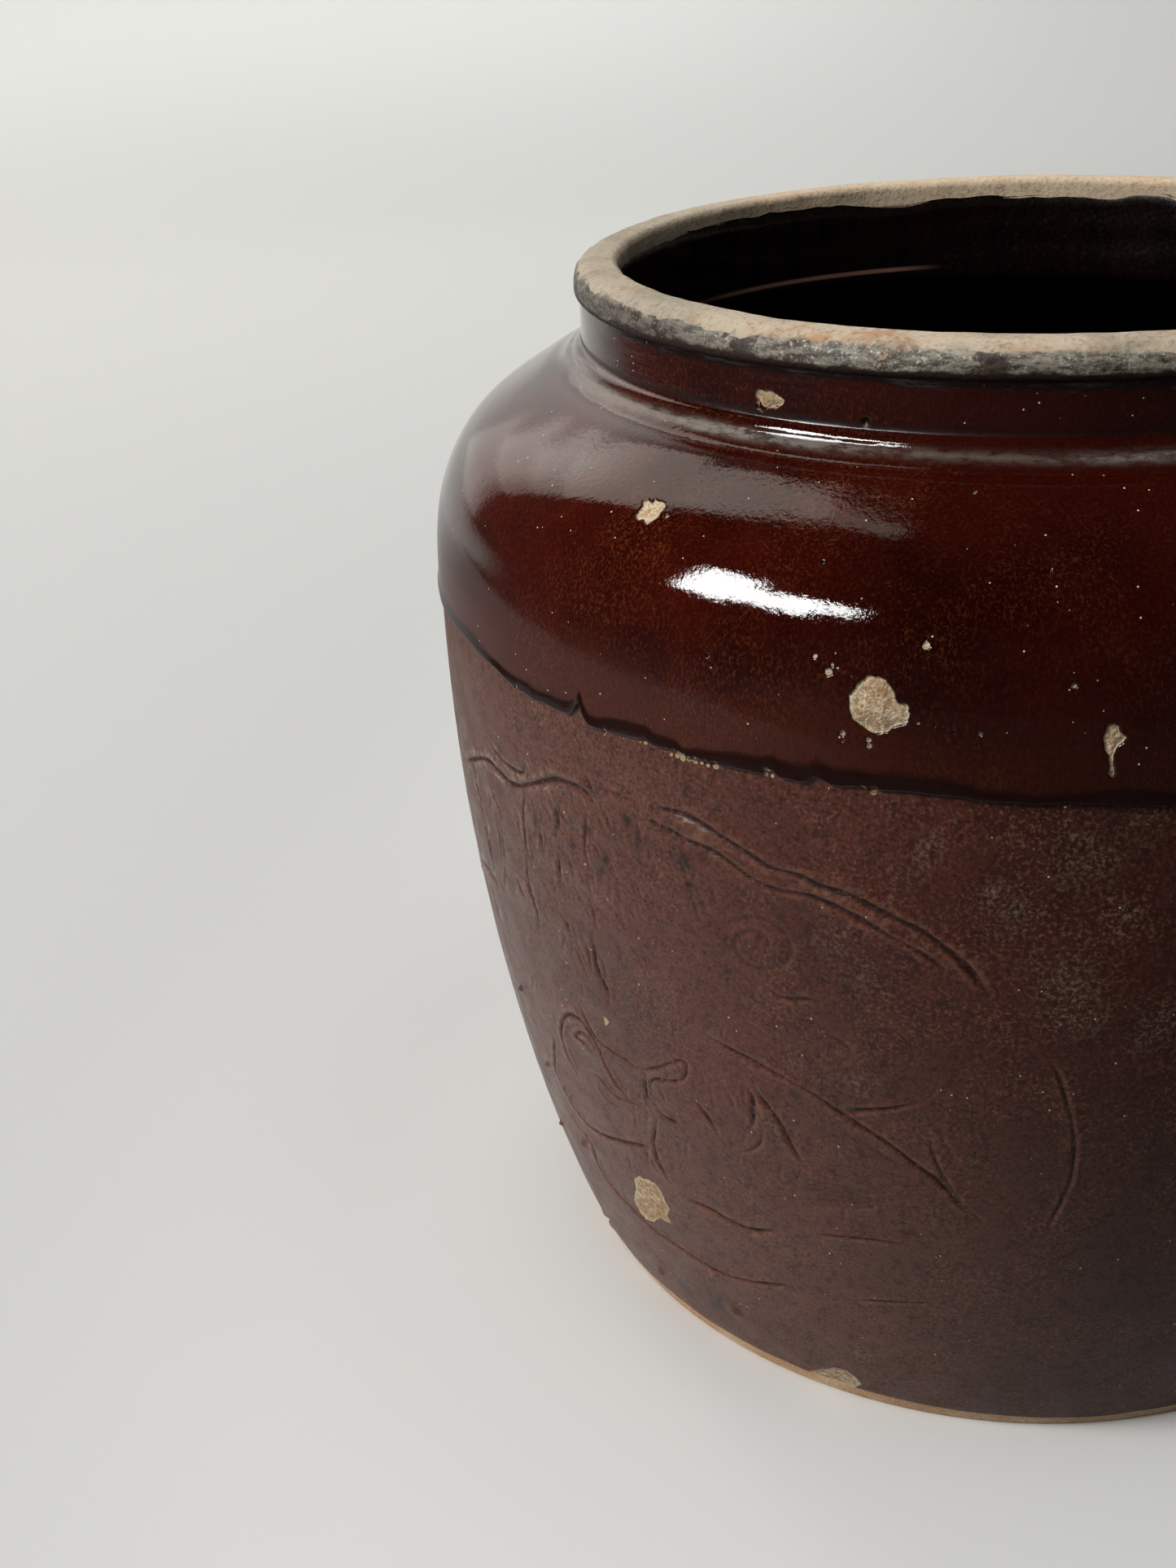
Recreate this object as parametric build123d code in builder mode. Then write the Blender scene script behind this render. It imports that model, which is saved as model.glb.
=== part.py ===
from build123d import *
import os

os.makedirs("parts", exist_ok=True)

# A squat storage jar of coiled and turned stoneware, with two coats of glaze.
# Millimetres, Z up, origin at the middle of the foot, and the jar's front faces -Y.

# Overall body
jar_height = 340.0
foot_radius = 151.2
belly_radius = 190.6
belly_height = 236.0
neck_root_radius = 143.2

# Flank from foot to belly: share of the belly's height, share of the swell
flank_shares = ((0.086, 0.200), (0.230, 0.452), (0.430, 0.706), (0.630, 0.881), (0.810, 0.973))

# Shoulder from belly to neck: share of the rise, share of the draw inwards
shoulder_shares = ((0.200, 0.003), (0.470, 0.066), (0.700, 0.275), (0.850, 0.600))

# Neck and rim
mouth_radius = 127.1
neck_thickness = 11.6
neck_height = 17.7
rim_height = 10.3
rim_overhang = 2.9
rim_outer_round = 6.0
rim_inner_round = 2.5
rim_under_round = 2.4

# Clay body
wall_thickness = 10.4
base_thickness = 14.0
recess_depth = 1.5
foot_ring = 14.0
foot_round = 1.5
corner_coil_leg = 16.0

# Luted joints
seam_height = 150.0
seam_bevel = 5.0
slip_thickness = 1.2
neck_bead_radius = 3.6

# Glaze coats
first_coat = 0.6
second_coat = 0.8
inner_coat = 0.7
rim_coat = 0.5
foot_band = 3.0
bare_lip = 8.0
coat_roll_radius = 1.2

# Place of the second coat's lower edge, as a share of the outline from foot to neck
coat_line_share = 0.729

# Chips through the glaze: turn from the front in degrees, share of the outline
# from foot to neck, width and height
shoulder_chips = (
    (-33.0, 0.910, 8.0, 9.0),
    (-8.9, 0.790, 15.0, 16.0),
    (7.7, 0.765, 5.0, 13.0),
)
flank_chips = (
    (-36.0, 0.200, 17.0, 21.0),
    (-15.6, 0.030, 18.0, 9.0),
)

# Chips in the neck's glaze: turn, share of the neck's height, width and height
neck_chips = ((-27.5, 0.48, 8.0, 6.5),)

# Overrun of construction lines and cutters past the surfaces that they cut
overrun = 16.0
chip_overrun = 3.0

# Number of points that carry the outline over to the parallel surfaces
station_count = 24

# Sizes worked out from the ones above
rim_low = jar_height - rim_height
neck_root_height = rim_low - neck_height
throat_radius = mouth_radius + inner_coat
neck_radius = throat_radius + neck_thickness
rim_radius = neck_radius + rim_overhang
reach = belly_radius + overrun
clay_depth = first_coat
rim_rounds = ((-1, 0, rim_inner_round), (-1, -1, rim_outer_round), (0, -1, rim_under_round))
cavity_depth = first_coat + wall_thickness
lining_depth = cavity_depth + inner_coat


def outline_points():
    """Return the points of the first coat's outside, from the foot up to the neck."""
    swell = belly_radius - foot_radius
    rise = neck_root_height - belly_height
    draw = belly_radius - neck_root_radius
    points = [(foot_radius, 0)]
    for height_share, swell_share in flank_shares:
        points.append((foot_radius + swell * swell_share, belly_height * height_share))
    points.append((belly_radius, belly_height))
    for rise_share, draw_share in shoulder_shares:
        points.append((belly_radius - draw * draw_share, belly_height + rise * rise_share))
    points.append((neck_root_radius, neck_root_height))
    return points


with BuildLine() as outside:
    outline = Spline(*outline_points())


def moved_in(share, depth):
    """Return the outline's point at a share of its length, moved in square to it."""
    inwards = outline.tangent_at(share).rotate(Axis.Z, 90)
    return outline.position_at(share) + inwards * depth


def body_section(depth):
    """Return the half section of the body, moved in by depth and closed on the axis."""
    points = [moved_in(step / station_count, depth) for step in range(station_count + 1)]
    start = points[0] - outline.tangent_at(0) * overrun
    end = points[-1] + outline.tangent_at(1) * overrun
    with BuildSketch() as section:
        with BuildLine():
            Spline(start, *points, end)
            Polyline(end, (0, end.Y), (0, start.Y), start)
        make_face()
    return section.sketch_local


def band(low, high, inner=0, outer=reach):
    """Return a rectangle between two heights and two radii."""
    with BuildSketch() as section:
        with Locations((inner, low)):
            Rectangle(outer - inner, high - low, align=(Align.MIN, Align.MIN))
    return section.sketch_local


def under_bevel(height):
    """Return the region under a bevelled seam that rises towards the inside."""
    slope = seam_bevel / wall_thickness
    with BuildSketch() as section:
        with BuildLine():
            Polyline(
                (0, height + slope * belly_radius),
                (reach, height - slope * overrun),
                (reach, -overrun),
                (0, -overrun),
                close=True,
            )
        make_face()
    return section.sketch_local


def bead_section(depth):
    """Return the round section of the coil at the neck's root, moved in by depth."""
    with BuildSketch() as section:
        with Locations((neck_radius, neck_root_height)):
            Circle(neck_bead_radius - depth)
    return section.sketch_local


def coated_section(depth):
    """Return the half section of body, bead and neck together, moved in by depth."""
    with BuildSketch() as section:
        add(body_section(depth))
        add(band(belly_height, rim_low, outer=neck_radius + first_coat - depth))
        add(bead_section(depth - first_coat))
        add(band(0, rim_low), mode=Mode.INTERSECT)
    return section.sketch_local


def hollow_section(depth, floor, throat):
    """Return the half section of the hollow, from the floor out through the throat."""
    with BuildSketch() as section:
        add(body_section(depth))
        add(band(belly_height, jar_height + overrun, outer=throat))
        add(band(floor, jar_height + overrun), mode=Mode.INTERSECT)
    return section.sketch_local


def corner_section(hollow, grown):
    """Return the region outside the corner coil's hollowed face, grown into the hollow."""
    corner = hollow.vertices().group_by(Axis.Y)[0].sort_by(Axis.X)[-1].center()
    floor_end = corner - Vector(corner_coil_leg, 0)
    wall_end = corner + outline.tangent_at(0) * corner_coil_leg
    face = (wall_end - floor_end).normalized()
    into_hollow = face.rotate(Axis.Z, 90)
    floor_end = floor_end + into_hollow * grown - face * overrun
    wall_end = wall_end + into_hollow * grown + face * overrun
    with BuildSketch() as section:
        with BuildLine():
            Polyline(
                floor_end,
                wall_end,
                wall_end - into_hollow * reach,
                floor_end - into_hollow * reach,
                close=True,
            )
        make_face()
    return section.sketch_local


def rim_section(shift):
    """Return the section of the rolled rim, moved towards the axis by shift."""
    width = rim_radius - throat_radius
    with BuildSketch() as section:
        with Locations((throat_radius - shift, rim_low)):
            Rectangle(width, rim_height, align=(Align.MIN, Align.MIN))
        for level, side, radius in rim_rounds:
            corners = section.vertices().group_by(Axis.Y)[level].sort_by(Axis.X)
            fillet(corners[side], radius=radius)
    return section.sketch_local


def chip_plane(turn, point, inwards):
    """Return the plane just outside a chip, its Z facing away from the surface."""
    start = point - inwards * chip_overrun
    around = Axis.Z
    origin = Vector(0, -start.X, start.Y).rotate(around, turn)
    away = Vector(0, inwards.X, -inwards.Y).rotate(around, turn)
    return Plane(origin=origin, x_dir=Vector(1, 0, 0).rotate(around, turn), z_dir=away)


def body_chip_plane(turn, share):
    """Return the plane of a chip at a share of the outline."""
    inwards = outline.tangent_at(share).rotate(Axis.Z, 90)
    return chip_plane(turn, outline.position_at(share), inwards)


def neck_chip_plane(turn, share):
    """Return the plane of a chip at a share of the neck's height."""
    point = Vector(neck_radius, neck_root_height + neck_height * share)
    return chip_plane(turn, point, Vector(-1, 0))


clay_section = coated_section(clay_depth)
first_section = coated_section(0)
second_section = coated_section(-second_coat)
clay_hollow = hollow_section(cavity_depth, base_thickness, throat_radius)

# Base: a flat disc of clay, hollowed a little beneath so that it stands on its edge
with BuildPart() as base_slab:
    with BuildSketch(Plane.XZ) as base_profile:
        add(clay_section)
        add(band(0, base_thickness), mode=Mode.INTERSECT)
        foot_corners = base_profile.vertices().group_by(Axis.Y)[0]
        fillet(foot_corners.sort_by(Axis.X)[-1], radius=foot_round)
        add(band(0, recess_depth, outer=foot_radius - foot_ring), mode=Mode.SUBTRACT)
    revolve(axis=Axis.Z)
base_slab.part.label = "base_slab"
export_step(base_slab.part, "parts/base_slab.step")

# Coil pressed into the corner between the base and the wall
with BuildPart() as base_corner_coil:
    with BuildSketch(Plane.XZ):
        add(clay_hollow)
        add(corner_section(clay_hollow, 0), mode=Mode.INTERSECT)
    revolve(axis=Axis.Z)
base_corner_coil.part.label = "base_corner_coil"
export_step(base_corner_coil.part, "parts/base_corner_coil.step")

# Lower wall: built up from the base to a bevelled edge
with BuildPart() as lower_wall:
    with BuildSketch(Plane.XZ):
        add(clay_section)
        add(clay_hollow, mode=Mode.SUBTRACT)
        add(band(base_thickness, jar_height), mode=Mode.INTERSECT)
        add(under_bevel(seam_height), mode=Mode.INTERSECT)
    revolve(axis=Axis.Z)
lower_wall.part.label = "lower_wall"
export_step(lower_wall.part, "parts/lower_wall.step")

# Slip that lutes the two halves of the wall together along their bevels
with BuildPart() as belly_seam_slip:
    with BuildSketch(Plane.XZ):
        add(clay_section)
        add(clay_hollow, mode=Mode.SUBTRACT)
        add(under_bevel(seam_height + slip_thickness), mode=Mode.INTERSECT)
        add(under_bevel(seam_height), mode=Mode.SUBTRACT)
    revolve(axis=Axis.Z)
belly_seam_slip.part.label = "belly_seam_slip"
export_step(belly_seam_slip.part, "parts/belly_seam_slip.step")

# Upper wall: from the seam over the shoulder to the neck
with BuildPart() as upper_wall:
    with BuildSketch(Plane.XZ):
        add(clay_section)
        add(clay_hollow, mode=Mode.SUBTRACT)
        add(under_bevel(seam_height + slip_thickness), mode=Mode.SUBTRACT)
        add(band(0, neck_root_height), mode=Mode.INTERSECT)
        add(bead_section(0), mode=Mode.SUBTRACT)
    revolve(axis=Axis.Z)
upper_wall.part.label = "upper_wall"
export_step(upper_wall.part, "parts/upper_wall.step")

# Coil that lutes the neck to the shoulder and stands out as a bead
with BuildPart() as neck_bead:
    with BuildSketch(Plane.XZ):
        add(bead_section(0))
    revolve(axis=Axis.Z)
neck_bead.part.label = "neck_bead"
export_step(neck_bead.part, "parts/neck_bead.step")

# Neck: a short upright collar
with BuildPart() as neck_collar:
    with BuildSketch(Plane.XZ):
        add(band(neck_root_height, rim_low, inner=throat_radius, outer=neck_radius))
        add(bead_section(0), mode=Mode.SUBTRACT)
    revolve(axis=Axis.Z)
neck_collar.part.label = "neck_collar"
export_step(neck_collar.part, "parts/neck_collar.step")

# Thin worn wash on the rim's outer face, which tapers out on its rounded edges
with BuildPart() as rim_wash:
    with BuildSketch(Plane.XZ):
        add(rim_section(0))
        add(rim_section(rim_coat), mode=Mode.SUBTRACT)
    revolve(axis=Axis.Z)
rim_wash.part.label = "rim_wash"
export_step(rim_wash.part, "parts/rim_wash.step")

# Rim: a roll of clay with a flat top, seated on the neck
with BuildPart() as rim_roll:
    with BuildSketch(Plane.XZ):
        add(rim_section(0))
        add(rim_section(rim_coat), mode=Mode.INTERSECT)
    revolve(axis=Axis.Z)
rim_roll.part.label = "rim_roll"
export_step(rim_roll.part, "parts/rim_roll.step")

# First coat of glaze: from just above the foot to the rim
with BuildPart() as body_glaze:
    with BuildSketch(Plane.XZ):
        add(first_section)
        add(clay_section, mode=Mode.SUBTRACT)
        add(band(foot_band, rim_low), mode=Mode.INTERSECT)
    revolve(axis=Axis.Z)
    for turn, share, width, height in shoulder_chips + flank_chips:
        with BuildSketch(body_chip_plane(turn, share)):
            Ellipse(width / 2, height / 2)
        extrude(amount=-2 * chip_overrun, mode=Mode.SUBTRACT)
    for turn, share, width, height in neck_chips:
        with BuildSketch(neck_chip_plane(turn, share)):
            Ellipse(width / 2, height / 2)
        extrude(amount=-2 * chip_overrun, mode=Mode.SUBTRACT)
body_glaze.part.label = "body_glaze"
export_step(body_glaze.part, "parts/body_glaze.step")

# Second coat: over the shoulder and neck only, with a thick rolled lower edge
coat_line = outline.position_at(coat_line_share)
with BuildPart() as shoulder_glaze:
    with BuildSketch(Plane.XZ):
        add(second_section)
        add(band(coat_line.Y, rim_low), mode=Mode.INTERSECT)
        with Locations(coat_line):
            Circle(coat_roll_radius)
        add(first_section, mode=Mode.SUBTRACT)
    revolve(axis=Axis.Z)
    for turn, share, width, height in shoulder_chips:
        with BuildSketch(body_chip_plane(turn, share)):
            Ellipse(width / 2, height / 2)
        extrude(amount=-2 * chip_overrun, mode=Mode.SUBTRACT)
    for turn, share, width, height in neck_chips:
        with BuildSketch(neck_chip_plane(turn, share)):
            Ellipse(width / 2, height / 2)
        extrude(amount=-2 * chip_overrun, mode=Mode.SUBTRACT)
shoulder_glaze.part.label = "shoulder_glaze"
export_step(shoulder_glaze.part, "parts/shoulder_glaze.step")

# Room left inside the inner glaze
with BuildSketch() as room:
    add(hollow_section(lining_depth, base_thickness + inner_coat, mouth_radius))
    add(corner_section(clay_hollow, inner_coat), mode=Mode.SUBTRACT)

# Glaze on the inside: floor, wall and throat, up to the bare lip
with BuildPart() as inner_glaze:
    with BuildSketch(Plane.XZ):
        add(clay_hollow)
        add(corner_section(clay_hollow, 0), mode=Mode.SUBTRACT)
        add(room.sketch_local, mode=Mode.SUBTRACT)
        add(band(0, jar_height - bare_lip), mode=Mode.INTERSECT)
    revolve(axis=Axis.Z)
inner_glaze.part.label = "inner_glaze"
export_step(inner_glaze.part, "parts/inner_glaze.step")
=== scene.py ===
"""Squat storage jar of glazed stoneware, incised, chipped and worn, on a pale studio floor."""

import logging
import math
from dataclasses import dataclass
from enum import Enum
from typing import Callable, Optional, Sequence

import bmesh
import bpy
import numpy as np
from mathutils import Matrix, Vector
from mathutils.kdtree import KDTree


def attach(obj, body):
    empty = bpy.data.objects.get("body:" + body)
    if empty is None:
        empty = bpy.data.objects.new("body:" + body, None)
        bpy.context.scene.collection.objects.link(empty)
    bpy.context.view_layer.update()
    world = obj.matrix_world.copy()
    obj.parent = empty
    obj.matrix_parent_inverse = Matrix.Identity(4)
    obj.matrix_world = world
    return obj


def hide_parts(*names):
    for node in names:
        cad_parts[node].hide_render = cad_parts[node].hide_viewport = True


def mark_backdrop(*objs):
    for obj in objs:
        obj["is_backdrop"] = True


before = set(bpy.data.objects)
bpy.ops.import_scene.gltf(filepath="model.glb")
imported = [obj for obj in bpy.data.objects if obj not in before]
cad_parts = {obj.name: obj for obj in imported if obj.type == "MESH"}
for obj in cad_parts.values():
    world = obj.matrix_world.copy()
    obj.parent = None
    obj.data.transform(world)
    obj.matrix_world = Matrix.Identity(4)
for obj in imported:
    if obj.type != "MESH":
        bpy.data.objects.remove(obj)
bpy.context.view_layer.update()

LOG = logging.getLogger("storage_jar")
BODY = "root"
MM = 0.001
TINY = 1e-6
FULL_TURN = 2 * math.pi
PRIMES = (73856093, 19349663, 83492791)
FLAKE_CORNERS = 14

Array = np.ndarray
Mesh = bmesh.types.BMesh
Piece = bpy.types.Object
Socket = bpy.types.NodeSocket
Pixels = tuple[tuple[float, float], ...]
Marks = tuple[tuple[tuple[float, float], float], ...]
Colour = tuple[float, float, float, float]
Skin = Callable[[Array, Array], tuple[Array, dict[str, Array]]]


# Shared tools


def paint(red: float, green: float, blue: float) -> Colour:
    """Return a screen colour, 0 to 255, as the linear colour that shaders take.

    Args:
        red: Red share of the screen colour.
        green: Green share of the screen colour.
        blue: Blue share of the screen colour.

    Returns:
        The linear colour with full opacity.
    """
    channels = []
    for value in (red, green, blue):
        share = value / 255
        channels.append(share / 12.92 if share <= 0.04045 else ((share + 0.055) / 1.055) ** 2.4)
    return (channels[0], channels[1], channels[2], 1.0)


def held(values: Array) -> Array:
    """Return values held between 0 and 1."""
    return np.clip(values, 0.0, 1.0)


def ease(values: Array) -> Array:
    """Return values held between 0 and 1 and eased in and out."""
    share = held(values)
    return share * share * (3.0 - 2.0 * share)


def hump(values: Array) -> Array:
    """Return a soft hump: 1 where values are 0, and near 0 beyond 2 on either side."""
    return np.exp(-(values**2))


def rounded(rise: Array) -> Array:
    """Return how far a rounded edge lies below its top, 1 where rise is 0 and 0 where it is 1."""
    return 1 - np.sqrt(1 - (1 - rise) ** 2)


def on_ring(turn: Array) -> Array:
    """Return the places of turns on a level circle of radius 1, where slow drifts are read."""
    return np.stack((np.sin(turn), np.cos(turn), np.zeros(len(turn))), axis=1)


def line_length(places: Array) -> float:
    """Return the length of a line of places."""
    return float(np.linalg.norm(np.diff(places, axis=0), axis=1).sum())


def search_tree(places: Array) -> KDTree:
    """Return places as a search tree."""
    tree = KDTree(len(places))
    for index, place in enumerate(places):
        tree.insert(place, index)
    tree.balance()
    return tree


def smooth_curve(points: Array, count: int) -> Array:
    """Return a natural cubic spline through points, sampled evenly along its chords.

    Args:
        points: The points that the curve passes through, one per row.
        count: Number of samples.

    Returns:
        The samples, one per row.
    """
    knots = np.concatenate(([0.0], np.cumsum(np.linalg.norm(np.diff(points, axis=0), axis=1))))
    gaps = np.diff(knots)
    size = len(knots)
    system = np.zeros((size, size))
    target = np.zeros(points.shape)
    system[0, 0] = 1.0
    system[-1, -1] = 1.0
    for i in range(1, size - 1):
        system[i, i - 1 : i + 2] = (gaps[i - 1], 2 * (gaps[i - 1] + gaps[i]), gaps[i])
        ahead = (points[i + 1] - points[i]) / gaps[i]
        behind = (points[i] - points[i - 1]) / gaps[i - 1]
        target[i] = 6 * (ahead - behind)
    bend = np.linalg.solve(system, target)
    where = np.linspace(0.0, knots[-1], count)
    span = np.clip(np.searchsorted(knots, where, side="right") - 1, 0, size - 2)
    left = (knots[span + 1] - where)[:, None]
    right = (where - knots[span])[:, None]
    gap = gaps[span][:, None]
    cubic = (bend[span] * left**3 + bend[span + 1] * right**3) / (6 * gap)
    lower = (points[span] / gap - bend[span] * gap / 6) * left
    upper = (points[span + 1] / gap - bend[span + 1] * gap / 6) * right
    return cubic + lower + upper


@dataclass(frozen=True)
class Drift:
    """Smooth random field through space, from -1 to 1, the same for the same seed."""

    seed: int
    grain: float
    table_size: int = 8192

    def at(self, places: Array) -> Array:
        """Return the field at each place.

        Args:
            places: Places in metres, one per row.

        Returns:
            One value per place.
        """
        table = np.random.default_rng(self.seed).uniform(-1.0, 1.0, self.table_size)
        scaled = places / self.grain
        cell = np.floor(scaled).astype(np.int64)
        part = ease(scaled - cell)
        total = np.zeros(len(places))
        for corner in range(8):
            step = np.array((corner & 1, corner >> 1 & 1, corner >> 2 & 1))
            spot = cell + step
            key = np.bitwise_xor.reduce(spot * np.array(PRIMES), axis=1)
            weight = np.prod(np.where(step == 1, part, 1.0 - part), axis=1)
            total += weight * table[key % self.table_size]
        return total


class Profile:
    """Half section of a turned surface, with its length and outward normals."""

    def __init__(self, points: Array, side: float = 1.0) -> None:
        """Measure a dense line of points.

        Args:
            points: Radius and height of each point, in metres.
            side: 1 where the surface faces away from the axis on the way up, or -1.
        """
        run = np.concatenate(([0.0], np.cumsum(np.hypot(*np.diff(points, axis=0).T))))
        tangent = np.gradient(points, run, axis=0)
        tangent /= np.linalg.norm(tangent, axis=1)[:, None]
        self.points = points
        self.run = run
        self.normal = side * np.stack((tangent[:, 1], -tangent[:, 0]), axis=1)

    @property
    def length(self) -> float:
        """Return the length of the line."""
        return float(self.run[-1])

    def at(self, run: Array, out: Array | float) -> tuple[Array, Array]:
        """Return radius and height at a distance along the line, moved outwards.

        Args:
            run: Distance along the line.
            out: Distance moved along the normal.

        Returns:
            Radii and heights.
        """
        radius = np.interp(run, self.run, self.points[:, 0])
        height = np.interp(run, self.run, self.points[:, 1])
        across = np.interp(run, self.run, self.normal[:, 0])
        rise = np.interp(run, self.run, self.normal[:, 1])
        return radius + across * out, height + rise * out

    def place(self, turn: Array, run: Array, out: Array | float) -> Array:
        """Return places on the surface: turn is measured from the front, to the right."""
        radius, height = self.at(run, out)
        return np.stack((radius * np.sin(turn), -radius * np.cos(turn), height), axis=1)

    def run_at_height(self, height: Array | float) -> Array:
        """Return the distance along a line that only rises, at a height."""
        return np.interp(height, self.points[:, 1], self.run)

    def softened(self, reach: float) -> "Profile":
        """Return the line with its corners rounded over about that length."""
        step = reach / 6
        even = np.arange(0.0, self.length, step)
        line = np.stack(self.at(even, 0.0), axis=1)
        width = 9
        weights = np.exp(-0.5 * (np.arange(-width, width + 1) / 3.0) ** 2)
        weights /= weights.sum()
        padded = np.pad(line, ((width, width), (0, 0)), mode="reflect", reflect_type="odd")
        soft = np.stack([np.convolve(padded[:, k], weights, mode="valid") for k in (0, 1)], axis=1)
        return Profile(soft)


@dataclass(frozen=True)
class JarShape:
    """Sizes of the turned jar, in metres, and the lines of its surfaces."""

    foot_radius: float = 0.1512
    belly_radius: float = 0.1906
    belly_height: float = 0.2360
    root_radius: float = 0.1432
    root_height: float = 0.3120
    rim_low: float = 0.3297
    top: float = 0.3400
    neck_radius: float = 0.1394
    throat_radius: float = 0.1278
    mouth_radius: float = 0.1271
    rim_radius: float = 0.1418
    bead_radius: float = 0.0036
    wall: float = 0.0104
    floor: float = 0.0140
    first_coat: float = 0.0006
    second_coat: float = 0.0008
    inner_coat: float = 0.0007
    bead_coat: float = 0.0007
    coil_leg: float = 0.0160
    flank: tuple[tuple[float, float], ...] = (
        (0.086, 0.200),
        (0.230, 0.452),
        (0.430, 0.706),
        (0.630, 0.881),
        (0.810, 0.973),
    )
    shoulder: tuple[tuple[float, float], ...] = (
        (0.200, 0.003),
        (0.470, 0.066),
        (0.700, 0.275),
        (0.850, 0.600),
    )
    samples: int = 900
    bead_steps: int = 40
    neck_steps: int = 60
    floor_steps: int = 80

    def outline(self) -> Profile:
        """Return the line of the first coat's outside, from foot to neck."""
        swell = self.belly_radius - self.foot_radius
        rise = self.root_height - self.belly_height
        draw = self.belly_radius - self.root_radius
        points = [(self.foot_radius, 0.0)]
        points += [(self.foot_radius + swell * b, self.belly_height * a) for a, b in self.flank]
        points.append((self.belly_radius, self.belly_height))
        points += [
            (self.belly_radius - draw * b, self.belly_height + rise * a) for a, b in self.shoulder
        ]
        points.append((self.root_radius, self.root_height))
        return Profile(smooth_curve(np.array(points), self.samples))

    def upper_line(self) -> Profile:
        """Return the second coat's outside: foot to shoulder, bead, neck and into the rim."""
        outline = self.outline()
        coats = self.first_coat + self.second_coat
        body = np.stack(outline.at(outline.run, self.second_coat), axis=1)
        centre = np.array((self.neck_radius, self.root_height))
        reach = self.bead_radius + self.bead_coat
        outside = np.linalg.norm(body - centre, axis=1) > reach
        body = body[: int(np.argmin(outside))]
        start = math.atan2(*(body[-1] - centre)[::-1])
        end = math.acos(coats / reach)
        sweep = np.linspace(start, end, self.bead_steps)[1:]
        bead = centre + reach * np.stack((np.cos(sweep), np.sin(sweep)), axis=1)
        neck_top = self.rim_low + 1.2 * MM
        neck_heights = np.linspace(bead[-1, 1], neck_top, self.neck_steps)[1:]
        neck_radii = np.full(len(neck_heights), self.neck_radius + coats)
        neck = np.stack((neck_radii, neck_heights), axis=1)
        return Profile(np.concatenate((body, bead, neck))).softened(0.9 * MM)

    def inner_line(self, depth: float, throat: float, floor: float) -> Profile:
        """Return the line of the hollow, from the middle of the floor up through the throat.

        Args:
            depth: How far the hollow's wall lies inside the first coat's outside.
            throat: Radius of the throat.
            floor: Height of the floor.

        Returns:
            The line, facing the axis.
        """
        outline = self.outline()
        radius, height = outline.at(outline.run, -depth)
        kept = (height > floor + self.coil_leg) & (radius > throat)
        wall = np.stack((radius[kept], height[kept]), axis=1)
        corner_radius = float(np.interp(floor, height, radius))
        middle = np.linspace(0.0, corner_radius - self.coil_leg, self.floor_steps)
        bottom = np.stack((middle, np.full(len(middle), floor)), axis=1)
        rise = np.linspace(wall[-1, 1], self.top - 2 * MM, self.neck_steps)[1:]
        neck = np.stack((np.full(len(rise), throat), rise), axis=1)
        line = Profile(np.concatenate((bottom, wall, neck))).softened(4 * MM)
        return Profile(line.points, side=-1.0)


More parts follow.
